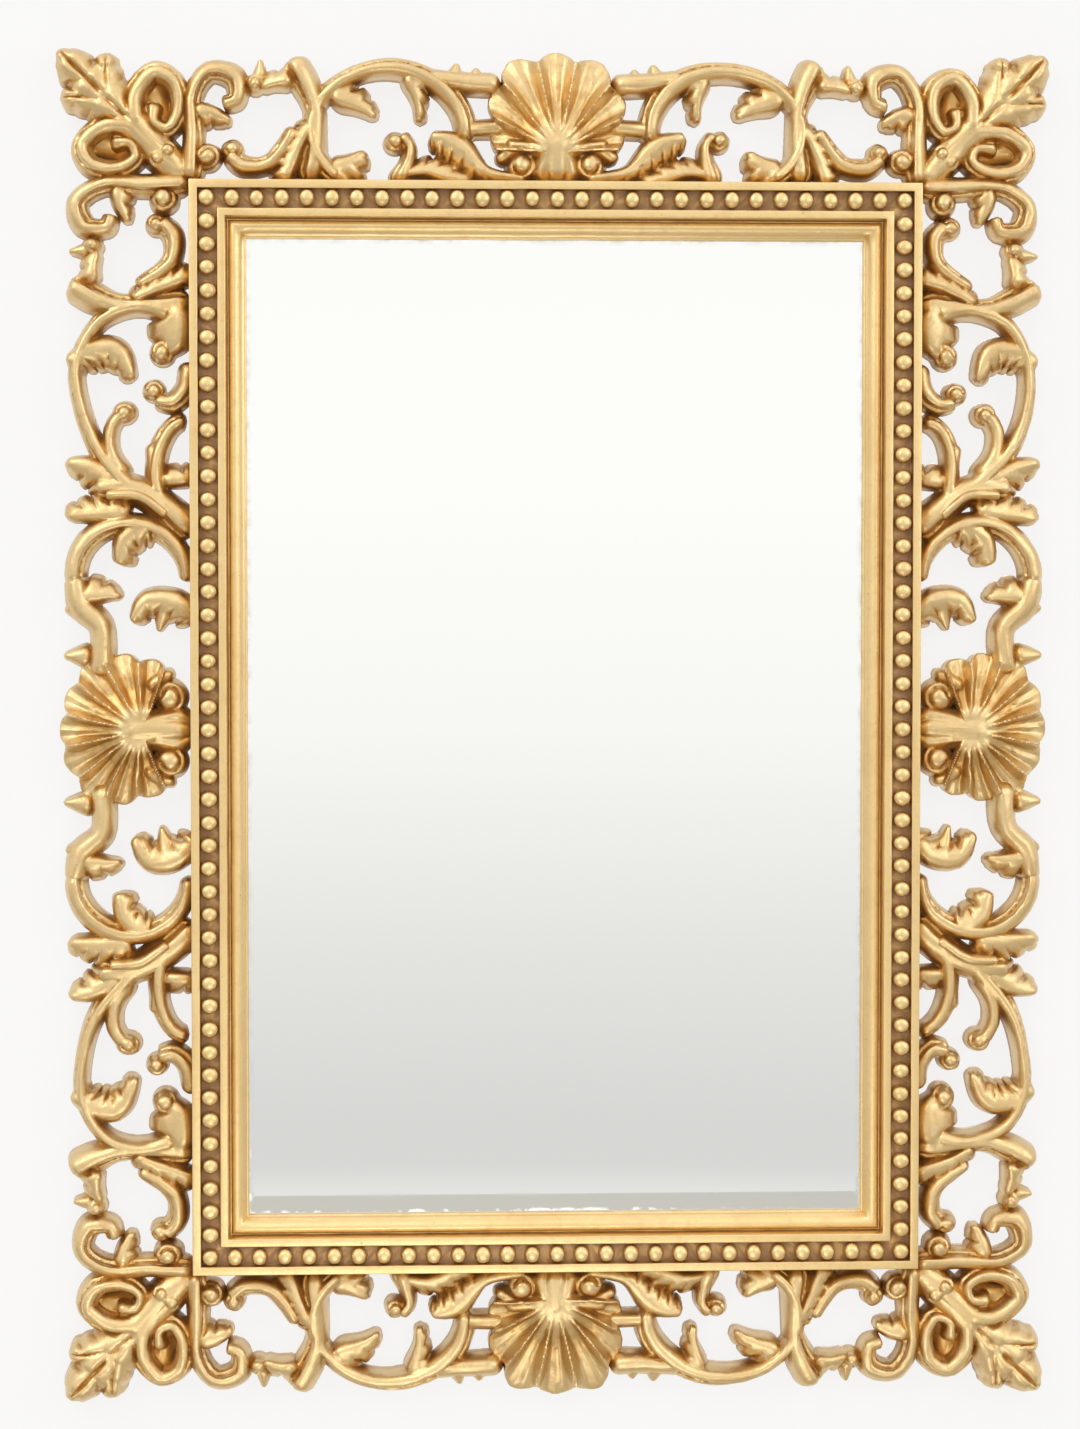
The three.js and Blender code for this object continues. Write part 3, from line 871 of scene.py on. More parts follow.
@dataclass(frozen=True)
class OcclusionShade:
    """Measures how occluded each place of a surface is, and keeps it in the mesh as painted shade.

    Args:
        reach: How far off a neighbouring form still counts, in metres.
        rays: How many ways to look from each place.
        spread: How much of the half sphere they cover, as a share of its height.
        lift: How far off the surface each look starts, in metres.
    """

    reach: float = 16 * MM
    rays: int = 18
    spread: float = 0.94
    lift: float = 0.25 * MM

    def fan(self) -> np.ndarray:
        """Directions over a half sphere about +Z, thickest about its pole."""
        count = np.arange(self.rays) + 0.5
        height = np.sqrt(1 - self.spread * count / self.rays)
        angle = count * math.pi * (3 - math.sqrt(5))
        flat = np.sqrt(1 - height**2)
        return np.stack([flat * np.cos(angle), flat * np.sin(angle), height], 1)

    def write(
        self, item: bpy.types.Object, trees: Sequence[BVHTree], gain: np.ndarray | float = 1.0
    ) -> None:
        """Stores painted shade: 0 where a place is open and toward 1 where it is occluded.

        Args:
            item: The object that gets the attribute.
            trees: What can stand in the way.
            gain: How strongly each place shows it.
        """
        places, normals = vertices_of(item)
        helper = np.where(np.abs(normals[:, :1]) > 0.8, [[0.0, 0.0, 1.0]], [[1.0, 0.0, 0.0]])
        side = np.cross(normals, helper)
        side /= np.linalg.norm(side, axis=1, keepdims=True) + 1e-9
        other = np.cross(normals, side)
        starts = places + normals * self.lift
        occlusion = np.zeros(len(places))
        for a, b, c in self.fan():
            ways = side * a + other * b + normals * c
            for index, (start, way) in enumerate(zip(starts.tolist(), ways.tolist())):
                for tree in trees:
                    distance = tree.ray_cast(start, way, self.reach)[3]
                    if distance is not None:
                        occlusion[index] += 1 - distance / self.reach
                        break
        value = occlusion / self.rays * gain
        # The hollow attribute is painted shade: occlusion that the gilding darkens toward brown.
        write_layer(item, "hollow", value)
        log.info("%s: hollows up to %.2f, mean %.2f", item.name, value.max(), value.mean())


@dataclass
class CarvedSurround:
    """The pierced and carved border, remade from its own forms with their fine relief.

    Args:
        layout: Where the master drawing lies on the frame.
        glass: Half the plate's size, across and up.
        ledge: The thickness of the ledge behind the moulding.
        past: How far a quarter's ledge runs past the centre lines, before the quarters are joined.
        grain: The size of the grid that the joined forms are carved on.
        triangles: About how many triangles the whole border has.
        softening: How many times its edges are softened.
        hand: How far hand carving strays from the drawing.
        hand_swell: About how far apart those strays lie.
        hand_depth: How much lower the carving may lie for it, as a share of its height.
        tooling: How deep the tool marks are.
        tooling_swell: About how far apart they lie.
        gesso: The thickness of the gesso over the wood.
    """

    layout: Layout
    glass: np.ndarray
    ledge: float
    past: float = 20 * MM
    grain: float = 0.85 * MM
    triangles: int = 196000
    softening: int = 2
    hand: float = 0.9 * MM
    hand_swell: float = 70 * MM
    hand_depth: float = 0.05
    tooling: float = 0.26 * MM
    tooling_swell: float = 9 * MM
    gesso: float = 0.7 * MM

    def forms(self) -> list[Form]:
        """Every carved form of one quarter, and the shells that it shares with its neighbours."""
        corner = corner_half()
        both = [*corner, *(form.mirrored() for form in corner)]
        return [*both, *corner_leaf(), *top_half(), *side_half(), *shells()]

    def ledge_surface(self) -> Surface:
        """The flat ledge behind the moulding, for one quarter and a little past its ends."""
        inner, outer = self.glass + FIT_GAP, self.layout.inner + FIT_GAP
        upright = self.block((inner[0], -self.past), outer)
        level = self.block((-self.past, inner[1]), outer)
        return Surface.joined([upright, level])

    def block(self, low: Sequence[float], high: Sequence[float]) -> Surface:
        """A flat block as thick as the ledge.

        Args:
            low: Its lowest x and z.
            high: Its highest x and z.

        Returns:
            The block's surface.
        """
        return slab(low, high, 0.0, -self.ledge)

    def cutter(self, half: np.ndarray, back: float) -> bpy.types.Object:
        """A block that clears room for a flat piece.

        Args:
            half: Half of the room, across and up.
            back: How deep it goes, as a place along Y.

        Returns:
            The cutting object.
        """
        return slab(-half, half, back, -2 * self.layout.depth).to_object("room")

    def build(self) -> bpy.types.Object:
        """Carves one quarter, cuts its rooms, and mirrors it to the whole border.

        Returns:
            The finished piece.
        """
        parts = [form.carve(self.layout) for form in self.forms()]
        piece = Surface.joined([*parts, self.ledge_surface()]).to_object("gilded_surround")
        remesh = piece.modifiers.new("carve", "REMESH")
        remesh.mode = "VOXEL"
        remesh.voxel_size = self.grain
        smooth = piece.modifiers.new("soften", "SMOOTH")
        smooth.iterations = self.softening
        applied(piece)
        log.info("surround: a quarter has %d faces before thinning", len(piece.data.polygons))
        self.coat(piece)
        self.thin(piece)
        rooms = [
            self.cutter(self.layout.inner + FIT_GAP, -self.ledge),
            self.cutter(self.glass + FIT_GAP, self.layout.depth),
        ]
        for room in rooms:
            cut = piece.modifiers.new("cut", "BOOLEAN")
            cut.operation = "DIFFERENCE"
            cut.solver = "MANIFOLD"
            cut.object = room
            applied(piece)
            bpy.data.objects.remove(room)
        mirror = piece.modifiers.new("quarters", "MIRROR")
        mirror.use_axis = (True, False, True)
        mirror.use_bisect_axis = (True, False, True)
        mirror.merge_threshold = 0.01 * MM
        applied(piece)
        self.by_hand(piece)
        log.info("surround: %d faces", len(piece.data.polygons))
        return piece

    def coat(self, piece: bpy.types.Object) -> None:
        """Builds the gesso up over the carved wood and leaves the back flat on the wall.

        Args:
            piece: The quarter.
        """
        points, normals = vertices_of(piece)
        on_wall = points[:, 1] > -0.6 * self.grain
        points += normals * self.gesso
        points[:, 1] = np.where(on_wall, 0.0, np.minimum(points[:, 1], 0.0))
        write_places(piece, points)

    def thin(self, piece: bpy.types.Object) -> None:
        """Brings the quarter down to its share of the triangles.

        Args:
            piece: The quarter.
        """
        thin = piece.modifiers.new("thin", "DECIMATE")
        thin.ratio = min(1.0, self.triangles / 4 / (2 * len(piece.data.polygons)))
        applied(piece)

    def by_hand(self, piece: bpy.types.Object) -> None:
        """Makes the quarters differ a little, as hand carving does, inside the frame's box.

        Args:
            piece: The whole border.
        """
        points, normals = vertices_of(piece)
        plan = points[:, [0, 2]]
        clear = np.max(np.abs(plan) - self.layout.inner, axis=1)
        freedom = eased(clear, 1 * MM, 16 * MM)
        front = eased(-points[:, 1], 2 * MM, 10 * MM)
        tool = wander(points, self.tooling_swell, 4) * self.tooling * front * freedom
        points += normals * tool[:, None]
        flat = points * np.array([1, 0, 1])
        for axis, seed in ((0, 1), (2, 2)):
            points[:, axis] += wander(flat, self.hand_swell, seed) * self.hand * freedom
        points[:, 1] *= 1 - self.hand_depth * (1 + wander(flat, self.hand_swell, 3) / 2) * freedom
        low, high = np.array(cad_low), np.array(cad_high)
        points = np.clip(points, low, high)
        points[:, 1] = np.clip(points[:, 1], -self.layout.depth, 0)
        write_places(piece, points)


@dataclass
class BeadedMoulding:
    """The moulding round the glass, with a string of pearls in its channel.

    Sizes across are measured outward from the sight edge and heights from the wall, in metres.

    Args:
        sight: Half the sight opening, across and up.
        width: The moulding's width.
        back: The height of its flat back.
        lip: The height at the sight edge.
        torus: Where the rounded band starts and ends.
        torus_crest: The height of its crest.
        quirk: The height of the narrow step outside it.
        quirk_gap: How far that step runs beyond the band.
        inner_fillet: Where the fillet inside the channel starts and ends.
        inner_fillet_height: Its height.
        channel: Where the channel starts and ends.
        channel_height: The height of its floor.
        outer_fillet_height: The height of the fillet outside the channel.
        outer_fillet_from: Where that fillet starts.
        arris: How far each sharp edge is taken off.
        steps: How many stretches each side is drawn in, level and upright.
        pearl: Half a pearl's size across the channel and along it.
        pearl_line: Where the pearls' middles lie.
        pearl_top: The height of their crowns.
        pearl_sunk: How far above the channel's floor their widest ring lies.
        pearl_fullness: How full their sides are. 1 would be a ball.
        pearl_sides: How many points each ring of a pearl has, and how many rings.
        pearl_stray: How far a pearl may lie from its place.
        pearl_sizes: The least and greatest size, as a share of the usual one.
        pitches: The spacing of the pearls along the level and the upright sides.
        unevenness: How far the surface dips.
        swell: About how far apart the dips lie.
        painted_shade_gains: How strongly painted shade gathers everywhere, what the part from the
            channel
        outward adds, and what the channel's floor adds.
    """

    sight: np.ndarray
    width: float
    back: float
    lip: float = 15 * MM
    torus: Point = (1.5 * MM, 13.5 * MM)
    torus_crest: float = 24 * MM
    quirk: float = 19 * MM
    quirk_gap: float = 0.6 * MM
    inner_fillet: Point = (15.5 * MM, 21.5 * MM)
    inner_fillet_height: float = 33 * MM
    channel: Point = (22 * MM, 36 * MM)
    channel_height: float = 29 * MM
    outer_fillet_height: float = 36 * MM
    outer_fillet_from: float = 36.5 * MM
    arris: float = 0.7 * MM
    steps: tuple[int, int] = (60, 90)
    pearl: Point = (7.0 * MM, 6.9 * MM)
    pearl_line: float = 29.4 * MM
    pearl_top: float = 38 * MM
    pearl_sunk: float = 1.2 * MM
    pearl_fullness: float = 0.55
    pearl_sides: tuple[int, int] = (20, 11)
    pearl_stray: float = 0.18 * MM
    pearl_sizes: Point = (0.94, 1.0)
    pitches: Point = (19.0 * MM, 17.8 * MM)
    unevenness: float = 0.18 * MM
    swell: float = 34 * MM
    painted_shade_gains: Triple = (0.16, 0.3, 1.1)

    def rounded(self, corner: Point, before: Point, after: Point) -> list[Point]:
        """Takes the edge off a corner of the profile.

        Args:
            corner: The sharp corner.
            before: The profile's previous corner.
            after: Its next corner.

        Returns:
            Four points that stand in for the corner.
        """
        middle = np.array(corner)
        start, end = (self.toward(middle, np.array(other)) for other in (before, after))
        shares = np.linspace(0, 1, 4)
        bent = [(1 - s) ** 2 * start + 2 * s * (1 - s) * middle + s * s * end for s in shares]
        return [(float(p[0]), float(p[1])) for p in bent]

    def toward(self, corner: np.ndarray, other: np.ndarray) -> np.ndarray:
        """A place a little way from a corner toward another point."""
        gap = other - corner
        distance = float(np.linalg.norm(gap))
        return corner + gap * min(self.arris, distance * 0.45) / distance

    def profile(self) -> list[Point]:
        """The section of the moulding.

        Returns:
            Points of distance outward and height above the wall, round the section.
        """
        turn = np.linspace(math.pi, 0, 17)
        low, high = self.torus
        middle, half = (low + high) / 2, (high - low) / 2
        lean = (self.quirk - self.lip) / (high - low)
        rise = self.torus_crest - (self.lip + self.quirk) / 2
        band: list[Point] = []
        for a in turn:
            base = self.lip + lean * half * (1 + math.cos(a))
            band.append((middle + half * math.cos(a), base + rise * math.sin(a)))
        edges = [
            (self.inner_fillet[0], self.inner_fillet_height),
            (self.inner_fillet[1], self.inner_fillet_height),
            (self.channel[0], self.channel_height),
            (self.channel[1], self.channel_height),
            (self.outer_fillet_from, self.outer_fillet_height),
            (self.width, self.outer_fillet_height),
            (self.width, self.back),
        ]
        foot = (self.torus[1] + self.quirk_gap, self.quirk)
        ring = [foot, *edges]
        points: list[Point] = [(0.0, self.back), (0.0, self.lip - self.arris), (self.arris, self.lip)]
        points.extend([*band, foot])
        for i in range(1, len(ring) - 1):
            points.extend(self.rounded(ring[i], ring[i - 1], ring[i + 1]))
        points.append(edges[-1])
        return points

    def body(self) -> Surface:
        """The mitred ring of the moulding, with steps along each side.

        Returns:
            The closed surface.
        """
        section = np.array(self.profile())
        corners = [(-1, 1), (1, 1), (1, -1), (-1, -1)]
        rings = []
        for k, (start, end) in enumerate(zip(corners, corners[1:] + corners[:1])):
            for share in np.linspace(0, 1, self.steps[k % 2], endpoint=False):
                sx = start[0] + (end[0] - start[0]) * share
                sz = start[1] + (end[1] - start[1]) * share
                x = sx * (self.sight[0] + section[:, 0])
                z = sz * (self.sight[1] + section[:, 0])
                rings.append(np.stack([x, -section[:, 1], z], 1))
        return lofted(np.array(rings), closed=True)

    def pearl_surface(self, x: float, z: float, size: float) -> Surface:
        """One pearl, whose foot is sunk in the channel, a little broader across it than along it.

        Args:
            x: Its place across.
            z: Its place up.
            size: Its size as a share of the usual one.

        Returns:
            The closed surface.
        """
        sides, levels = self.pearl_sides
        angle = np.linspace(0, 2 * math.pi, sides, endpoint=False)
        lift = np.linspace(-math.pi / 2 + 0.12, math.pi / 2 - 0.12, levels)
        middle = self.channel_height + self.pearl_sunk
        tall = self.pearl_top - middle
        upright = abs(x) - self.sight[0] > abs(z) - self.sight[1]
        wide, high = self.pearl if upright else self.pearl[::-1]
        rings = []
        for a in lift:
            full = math.cos(a) ** self.pearl_fullness
            level = np.full(sides, -middle - tall * min(size, 1.0) * math.sin(a))
            across = x + wide * size * full * np.cos(angle)
            rings.append(np.stack([across, level, z + high * size * full * np.sin(angle)], 1))
        return lofted(np.array(rings))

    def pearl_places(self) -> list[Point]:
        """Where each pearl sits.

        Returns:
            Places across and up: one in each corner and even strings between.
        """
        line = self.sight + self.pearl_line
        places = [(sx * line[0], sz * line[1]) for sx in (-1, 1) for sz in (-1, 1)]
        for axis in (0, 1):
            length = 2 * line[axis] - self.pitches[axis]
            count = round(length / self.pitches[axis])
            for i in range(count):
                along = -length / 2 + (i + 0.5) * length / count
                for side in (-1, 1):
                    place = [0.0, 0.0]
                    place[axis], place[1 - axis] = along, side * line[1 - axis]
                    places.append((place[0], place[1]))
        return places

    def painted_shade_gain(self, piece: bpy.types.Object) -> np.ndarray:
        """How strongly painted shade shows at each place: most in the channel, and less on the swept
        bands.

        Args:
            piece: The finished moulding.

        Returns:
            One number for each vertex.
        """
        places, _ = vertices_of(piece)
        outward = np.max(np.abs(places[:, [0, 2]]) - self.sight, axis=1)
        start, end = self.channel
        past_start = eased(outward, start - 1 * MM, start)
        in_channel = past_start * (1 - eased(outward, end, end + 1 * MM))
        # The painted shade is strongest low on the channel's floor, between the pearls.
        low = 1 - eased(-places[:, 1], self.channel_height + 1 * MM, self.channel_height + 5 * MM)
        swept, outer, channel = self.painted_shade_gains
        return swept + outer * past_start + channel * in_channel * low

    def build(self) -> bpy.types.Object:
        """Makes the moulding and its pearls as one piece.

        Returns:
            The finished piece.
        """
        draw = np.random.default_rng(7)
        pearls = []
        for x, z in self.pearl_places():
            dx, dz = draw.normal(0, self.pearl_stray, 2)
            pearls.append(self.pearl_surface(x + dx, z + dz, draw.uniform(*self.pearl_sizes)))
        piece = self.body().to_object("beaded_moulding")
        string = Surface.joined(pearls).to_object("pearls")
        union = piece.modifiers.new("pearls", "BOOLEAN")
        union.operation = "UNION"
        union.solver = "MANIFOLD"
        union.object = string
        applied(piece)
        bpy.data.objects.remove(string)
        points, normals = vertices_of(piece)
        plan = np.abs(points[:, [0, 2]])
        inside = np.min(self.sight + self.width - plan, axis=1)
        free = eased(-points[:, 1], self.back, self.back + 4 * MM) * eased(inside, 0.2 * MM, 2 * MM)
        shift = wander(points, self.swell, 11) * self.unevenness * free
        points += normals * np.minimum(shift, 0)[:, None]
        write_places(piece, points)
        log.info("moulding: %d faces", len(piece.data.polygons))
        return piece


# Finishes


Socket = bpy.types.NodeSocket
NUMBER, COLOUR = "NodeSocketFloat", "NodeSocketColor"


class Nodes:
    """Adds nodes to a node tree in few words.

    Args:
        tree: The tree that gets the nodes.
    """

    def __init__(self, tree: bpy.types.NodeTree) -> None:
        self.tree = tree

    def add(self, kind: str, **settings: object) -> bpy.types.Node:
        """Makes one node.

        Args:
            kind: The node's type name.
            settings: Its properties.

        Returns:
            The node.
        """
        node = self.tree.nodes.new(kind)
        for name, value in settings.items():
            setattr(node, name, value)
        return node

    def feed(self, socket: Socket, value: object) -> None:
        """Links a socket to another one, or sets its value.

        Args:
            socket: The input.
            value: An output socket, or a plain value.
        """
        if isinstance(value, Socket):
            self.tree.links.new(value, socket)
        else:
            socket.default_value = value

    def calc(self, operation: str, *values: object) -> Socket:
        """Works out a sum.

        Args:
            operation: The Math node's operation.
            values: Its inputs.

        Returns:
            The result.
        """
        node = self.add("ShaderNodeMath", operation=operation)
        for socket, value in zip(node.inputs, values):
            self.feed(socket, value)
        return node.outputs[0]

    def between(
        self, value: object, low: object, high: object, start: float = 0.0, end: float = 1.0
    ) -> Socket:
        """Carries a value smoothly from one range to another.

        Args:
            value: What to carry.
            low: Where the range starts.
            high: Where it ends.
            start: The result at its start.
            end: The result at its end.

        Returns:
            The result.
        """
        node = self.add("ShaderNodeMapRange", interpolation_type="SMOOTHSTEP")
        names = ("Value", "From Min", "From Max", "To Min", "To Max")
        for name, part in zip(names, (value, low, high, start, end)):
            self.feed(node.inputs[name], part)
        return node.outputs["Result"]

    def blend(self, share: object, first: object, second: object) -> Socket:
        """Mixes two colours.

        Args:
            share: How much of the second.
            first: The first colour.
            second: The second.

        Returns:
            The mixed colour.
        """
        node = self.add("ShaderNodeMix", data_type="RGBA")
        self.feed(node.inputs[0], share)
        self.feed(node.inputs[6], first)
        self.feed(node.inputs[7], second)
        return node.outputs[2]

    def noise(self, place: object, size: float, detail: float = 3.0, rough: float = 0.55) -> Socket:
        """Even cloudy noise.

        Args:
            place: Where to read it.
            size: About how far apart its swells are, in metres.
            detail: How many finer layers it has.
            rough: How strong those are.

        Returns:
            Numbers about 0.5.
        """
        node = self.add("ShaderNodeTexNoise")
        self.feed(node.inputs["Vector"], place)
        self.feed(node.inputs["Scale"], 1 / size)
        self.feed(node.inputs["Detail"], detail)
        self.feed(node.inputs["Roughness"], rough)
        return node.outputs["Fac"]

    def places(self) -> Socket:
        """The place on the object, in metres."""
        return self.add("ShaderNodeTexCoord").outputs["Object"]


BUMP_STRENGTH = 0.5
GroupParts = tuple[bpy.types.NodeTree, Nodes, bpy.types.Node, bpy.types.Node]


def new_group(name: str, inputs: dict[str, object], outputs: dict[str, str]) -> GroupParts:
    """Starts a shader node group.

    Args:
        name: The group's name.
        inputs: Each input's name and its usual value, a number or a colour.
        outputs: Each output's name and its socket type.

    Returns:
        The group, its node maker, and its input and output nodes.
    """
    group = bpy.data.node_groups.new(name, "ShaderNodeTree")
    for label, value in inputs.items():
        kind = "NodeSocketFloat" if isinstance(value, float) else "NodeSocketColor"
        socket = group.interface.new_socket(label, in_out="INPUT", socket_type=kind)
        socket.default_value = value
    for label, kind in outputs.items():
        group.interface.new_socket(label, in_out="OUTPUT", socket_type=kind)
    nodes = Nodes(group)
    return group, nodes, nodes.add("NodeGroupInput"), nodes.add("NodeGroupOutput")


def worn_and_shaded_leaf_group() -> bpy.types.NodeTree:
    """Gold leaf over red bole, darkened brown by painted shade in occluded places and rubbed on its
    crests.

    Returns:
        The group.
    """
    inputs = {
        "Leaf": (0.76, 0.52, 0.23, 1.0),
        "Patchy And Shaded Leaf": (0.55, 0.32, 0.1, 1.0),
        "Bole": (0.4, 0.12, 0.05, 1.0),
        "Shade And Speck Brown": (0.14, 0.065, 0.022, 1.0),
        "Shade From": 0.25,
        "Shade To": 0.7,
        "Rub": 0.35,
        "Satin": 0.36,
    }
    outputs = {"Color": COLOUR, "Roughness": NUMBER, "Metallic": NUMBER, "Height": NUMBER}
    group, nodes, group_in, out = new_group("worn and shaded leaf", inputs, outputs)
    given = group_in.outputs
    place = nodes.places()
    # The hollow attribute is painted shade, the occlusion measured on the mesh.
    hollow = nodes.add("ShaderNodeAttribute", attribute_name="hollow").outputs["Fac"]
    crest = nodes.add("ShaderNodeAttribute", attribute_name="crest").outputs["Fac"]
    broad = nodes.noise(place, 45 * MM, 2.0)
    patchy = nodes.noise(place, 9 * MM, 4.0, 0.6)
    fine = nodes.noise(place, 1.6 * MM, 3.0, 0.6)
    uneven = nodes.calc("MULTIPLY_ADD", patchy, 0.36, -0.18)
    # Painted shade, made uneven by patchy noise.
    occlusion = nodes.calc("ADD", hollow, uneven)
    thin_broad = nodes.between(broad, 0.4, 0.75, 0.0, 0.3)
    thin_fine = nodes.between(fine, 0.45, 0.75, 0.0, 0.16)
    worn = nodes.calc("ADD", thin_broad, thin_fine)
    # The leaf deepens with painted shade in slightly occluded places, and in random worn patches.
    shade_and_patches = nodes.calc("MAXIMUM", nodes.between(occlusion, 0.0, 0.28), worn)
    leaf = nodes.blend(shade_and_patches, given["Leaf"], given["Patchy And Shaded Leaf"])
    # Painted shade: the more occluded a place, the more it turns to the dark brown.
    shade_share = nodes.between(occlusion, given["Shade From"], given["Shade To"])
    rubbed = nodes.calc("MULTIPLY", nodes.between(crest, 0.35, 0.8), nodes.between(patchy, 0.5, 0.68))
    rubbed = nodes.calc("MULTIPLY", rubbed, given["Rub"])
    colour = nodes.blend(rubbed, leaf, given["Bole"])
    colour = nodes.blend(shade_share, colour, given["Shade And Speck Brown"])
    # Random specks of real toning in the same dark brown.
    specks = nodes.between(nodes.noise(place, 2.4 * MM, 2.0, 0.5), 0.7, 0.78, 0.0, 0.6)
    colour = nodes.blend(specks, colour, given["Shade And Speck Brown"])
    # Painted shade also takes the metal out of the leaf, and so does rubbing.
    shaded_dull, rubbed_dull = nodes.calc("MULTIPLY", shade_share, 0.85), nodes.calc("MULTIPLY", rubbed, 0.7)
    dull = nodes.calc("MAXIMUM", shaded_dull, rubbed_dull)
    satin = nodes.calc("MULTIPLY_ADD", fine, 0.22, -0.11)
    satin = nodes.calc("ADD", satin, given["Satin"])
    satin = nodes.calc("ADD", satin, nodes.calc("MULTIPLY", dull, 0.35))
    height = nodes.calc("ADD", nodes.calc("MULTIPLY", fine, 0.4), nodes.noise(place, 5 * MM, 2.0))
    metallic = nodes.calc("SUBTRACT", 1.0, nodes.calc("MAXIMUM", dull, specks))
    results = {"Color": colour, "Roughness": satin, "Metallic": metallic, "Height": height}
    for label, result in results.items():
        nodes.feed(out.inputs[label], result)
    return group


def wood_grain_group() -> bpy.types.NodeTree:
    """Straight softwood grain that runs up the board.

    Returns:
        The group.
    """
    inputs = {"Light": (0.5, 0.33, 0.18, 1.0), "Dark": (0.3, 0.17, 0.08, 1.0)}
    outputs = {"Color": COLOUR, "Height": NUMBER, "Roughness": NUMBER}
    group, nodes, given, out = new_group("softwood grain", inputs, outputs)
    stretch = nodes.add("ShaderNodeMapping")
    nodes.feed(stretch.inputs["Vector"], nodes.places())
    nodes.feed(stretch.inputs["Scale"], (1.0, 1.0, 0.035))
    bands = nodes.noise(stretch.outputs[0], 6 * MM, 4.0, 0.65)
    fibres = nodes.noise(stretch.outputs[0], 0.9 * MM, 3.0, 0.6)
    dark_bands = nodes.between(bands, 0.38, 0.66, 0.0, 0.75)
    share = nodes.calc("ADD", dark_bands, nodes.calc("MULTIPLY", fibres, 0.3))
    nodes.feed(out.inputs["Color"], nodes.blend(share, given.outputs["Light"], given.outputs["Dark"]))
    nodes.feed(out.inputs["Height"], fibres)
    nodes.feed(out.inputs["Roughness"], nodes.between(bands, 0.3, 0.7, 0.66, 0.82))
    return group


def new_material(name: str) -> tuple[bpy.types.Material, Nodes, bpy.types.Node]:
    """Starts a material with one Principled shader.

    Args:
        name: Its name.

    Returns:
        The material, its node maker and its shader.
    """
    material = bpy.data.materials.new(name)
    material.use_nodes = True
    shader = material.node_tree.nodes["Principled BSDF"]
    return material, Nodes(material.node_tree), shader


def place_group(
    nodes: Nodes, group: bpy.types.NodeTree, values: dict[str, object]
) -> bpy.types.Node:
    """Puts a node group in a material with its own values.

    Args:
        nodes: The material's node maker.
        group: The group.
        values: Its inputs by name.

    Returns:
        The group's node.
    """
    node = nodes.add("ShaderNodeGroup", node_tree=group)
    for name, value in values.items():
        nodes.feed(node.inputs[name], value)
    return node


def add_bump(nodes: Nodes, shader: bpy.types.Node, height: Socket, rise: float) -> None:
    """Gives a shader a fine uneven surface.

    Args:
        nodes: The material's node maker.
        shader: The shader.
        height: The height to follow.
        rise: How far the surface rises in metres.
    """
    bump = nodes.add("ShaderNodeBump")
    bump.inputs["Strength"].default_value = BUMP_STRENGTH
    bump.inputs["Distance"].default_value = rise
    nodes.feed(bump.inputs["Height"], height)
    nodes.feed(shader.inputs["Normal"], bump.outputs["Normal"])


@dataclass(frozen=True)
class Gilding:
    """Gold leaf over bole and gesso on carved wood.

    Args:
        name: The material's name.
        leaf: The leaf's colour.
        deep: Its colour where it lies double in random patches, and painted shade where a place is a
            little occluded.
        shade_from: How occluded a place is where the painted shade starts.
        shade_to: How occluded it is where the painted shade is full.
        bole: The colour of the clay under the leaf.
        shade_and_speck_brown: The dark brown of the painted shade in occluded places, and of the
            specks.
        rub: How much bole shows on the crests.
        satin: The leaf's roughness.
        ochre: The colour of the yellow wash that ends the gilding toward the wall.
        wash: Where that wash starts and where it is full, along Y.
        wash_share: How much of it covers the leaf.
        bare: Where the bare wood starts and where nothing covers it, along Y.
        varnish: How much thin varnish lies over the leaf.
        varnish_satin: Its roughness.
        brush_marks: How far the surface rises and falls.
    """

    name: str
    leaf: Colour = (0.74, 0.545, 0.27, 1.0)
    deep: Colour = (0.57, 0.335, 0.1, 1.0)
    bole: Colour = (0.42, 0.17, 0.07, 1.0)
    shade_and_speck_brown: Colour = (0.25, 0.125, 0.038, 1.0)
    shade_from: float = 0.34
    shade_to: float = 0.95
    rub: float = 0.3
    satin: float = 0.38
    ochre: Colour = (0.36, 0.2, 0.07, 1.0)
    wash: Point = (-12 * MM, -2 * MM)
    wash_share: float = 0.8
    bare: Point = (-0.9 * MM, -0.3 * MM)
    varnish: float = 0.6
    varnish_satin: float = 0.4
    brush_marks: float = 0.4 * MM

    def material(
        self, leaf_group: bpy.types.NodeTree, wood_group: bpy.types.NodeTree
    ) -> bpy.types.Material:
        """Builds the material.

        Args:
            leaf_group: The worn and shaded leaf.
            wood_group: The wood's grain, for the bare back.

        Returns:
            The material.
        """
        material, nodes, shader = new_material(self.name)
        # The deep leaf, the dark brown and the shade range paint shade into occluded places.
        leaf = place_group(nodes, leaf_group, {
            "Leaf": self.leaf,
            "Patchy And Shaded Leaf": self.deep,
            "Bole": self.bole,
            "Shade And Speck Brown": self.shade_and_speck_brown,
            "Shade From": self.shade_from,
            "Shade To": self.shade_to,
            "Rub": self.rub,
            "Satin": self.satin,
        })
        wood = place_group(nodes, wood_group, {})
        parts = nodes.add("ShaderNodeSeparateXYZ")
        nodes.feed(parts.inputs[0], nodes.places())
        depth = parts.outputs["Y"]
        wash = nodes.between(depth, *self.wash, 0.0, self.wash_share)
        bare = nodes.between(depth, *self.bare)
        colour = nodes.blend(wash, leaf.outputs["Color"], self.ochre)
        colour = nodes.blend(bare, colour, wood.outputs["Color"])
        matt = nodes.calc("MAXIMUM", wash, bare)
        metal = nodes.calc("MULTIPLY", leaf.outputs["Metallic"], nodes.calc("SUBTRACT", 1.0, matt))
        nodes.feed(shader.inputs["Base Color"], colour)
        nodes.feed(shader.inputs["Metallic"], metal)
        rough = nodes.calc("ADD", leaf.outputs["Roughness"], nodes.calc("MULTIPLY", matt, 0.3))
        nodes.feed(shader.inputs["Roughness"], rough)
        shader.inputs["Coat Weight"].default_value = self.varnish
        shader.inputs["Coat Roughness"].default_value = self.varnish_satin
        add_bump(nodes, shader, leaf.outputs["Height"], self.brush_marks)
        return material


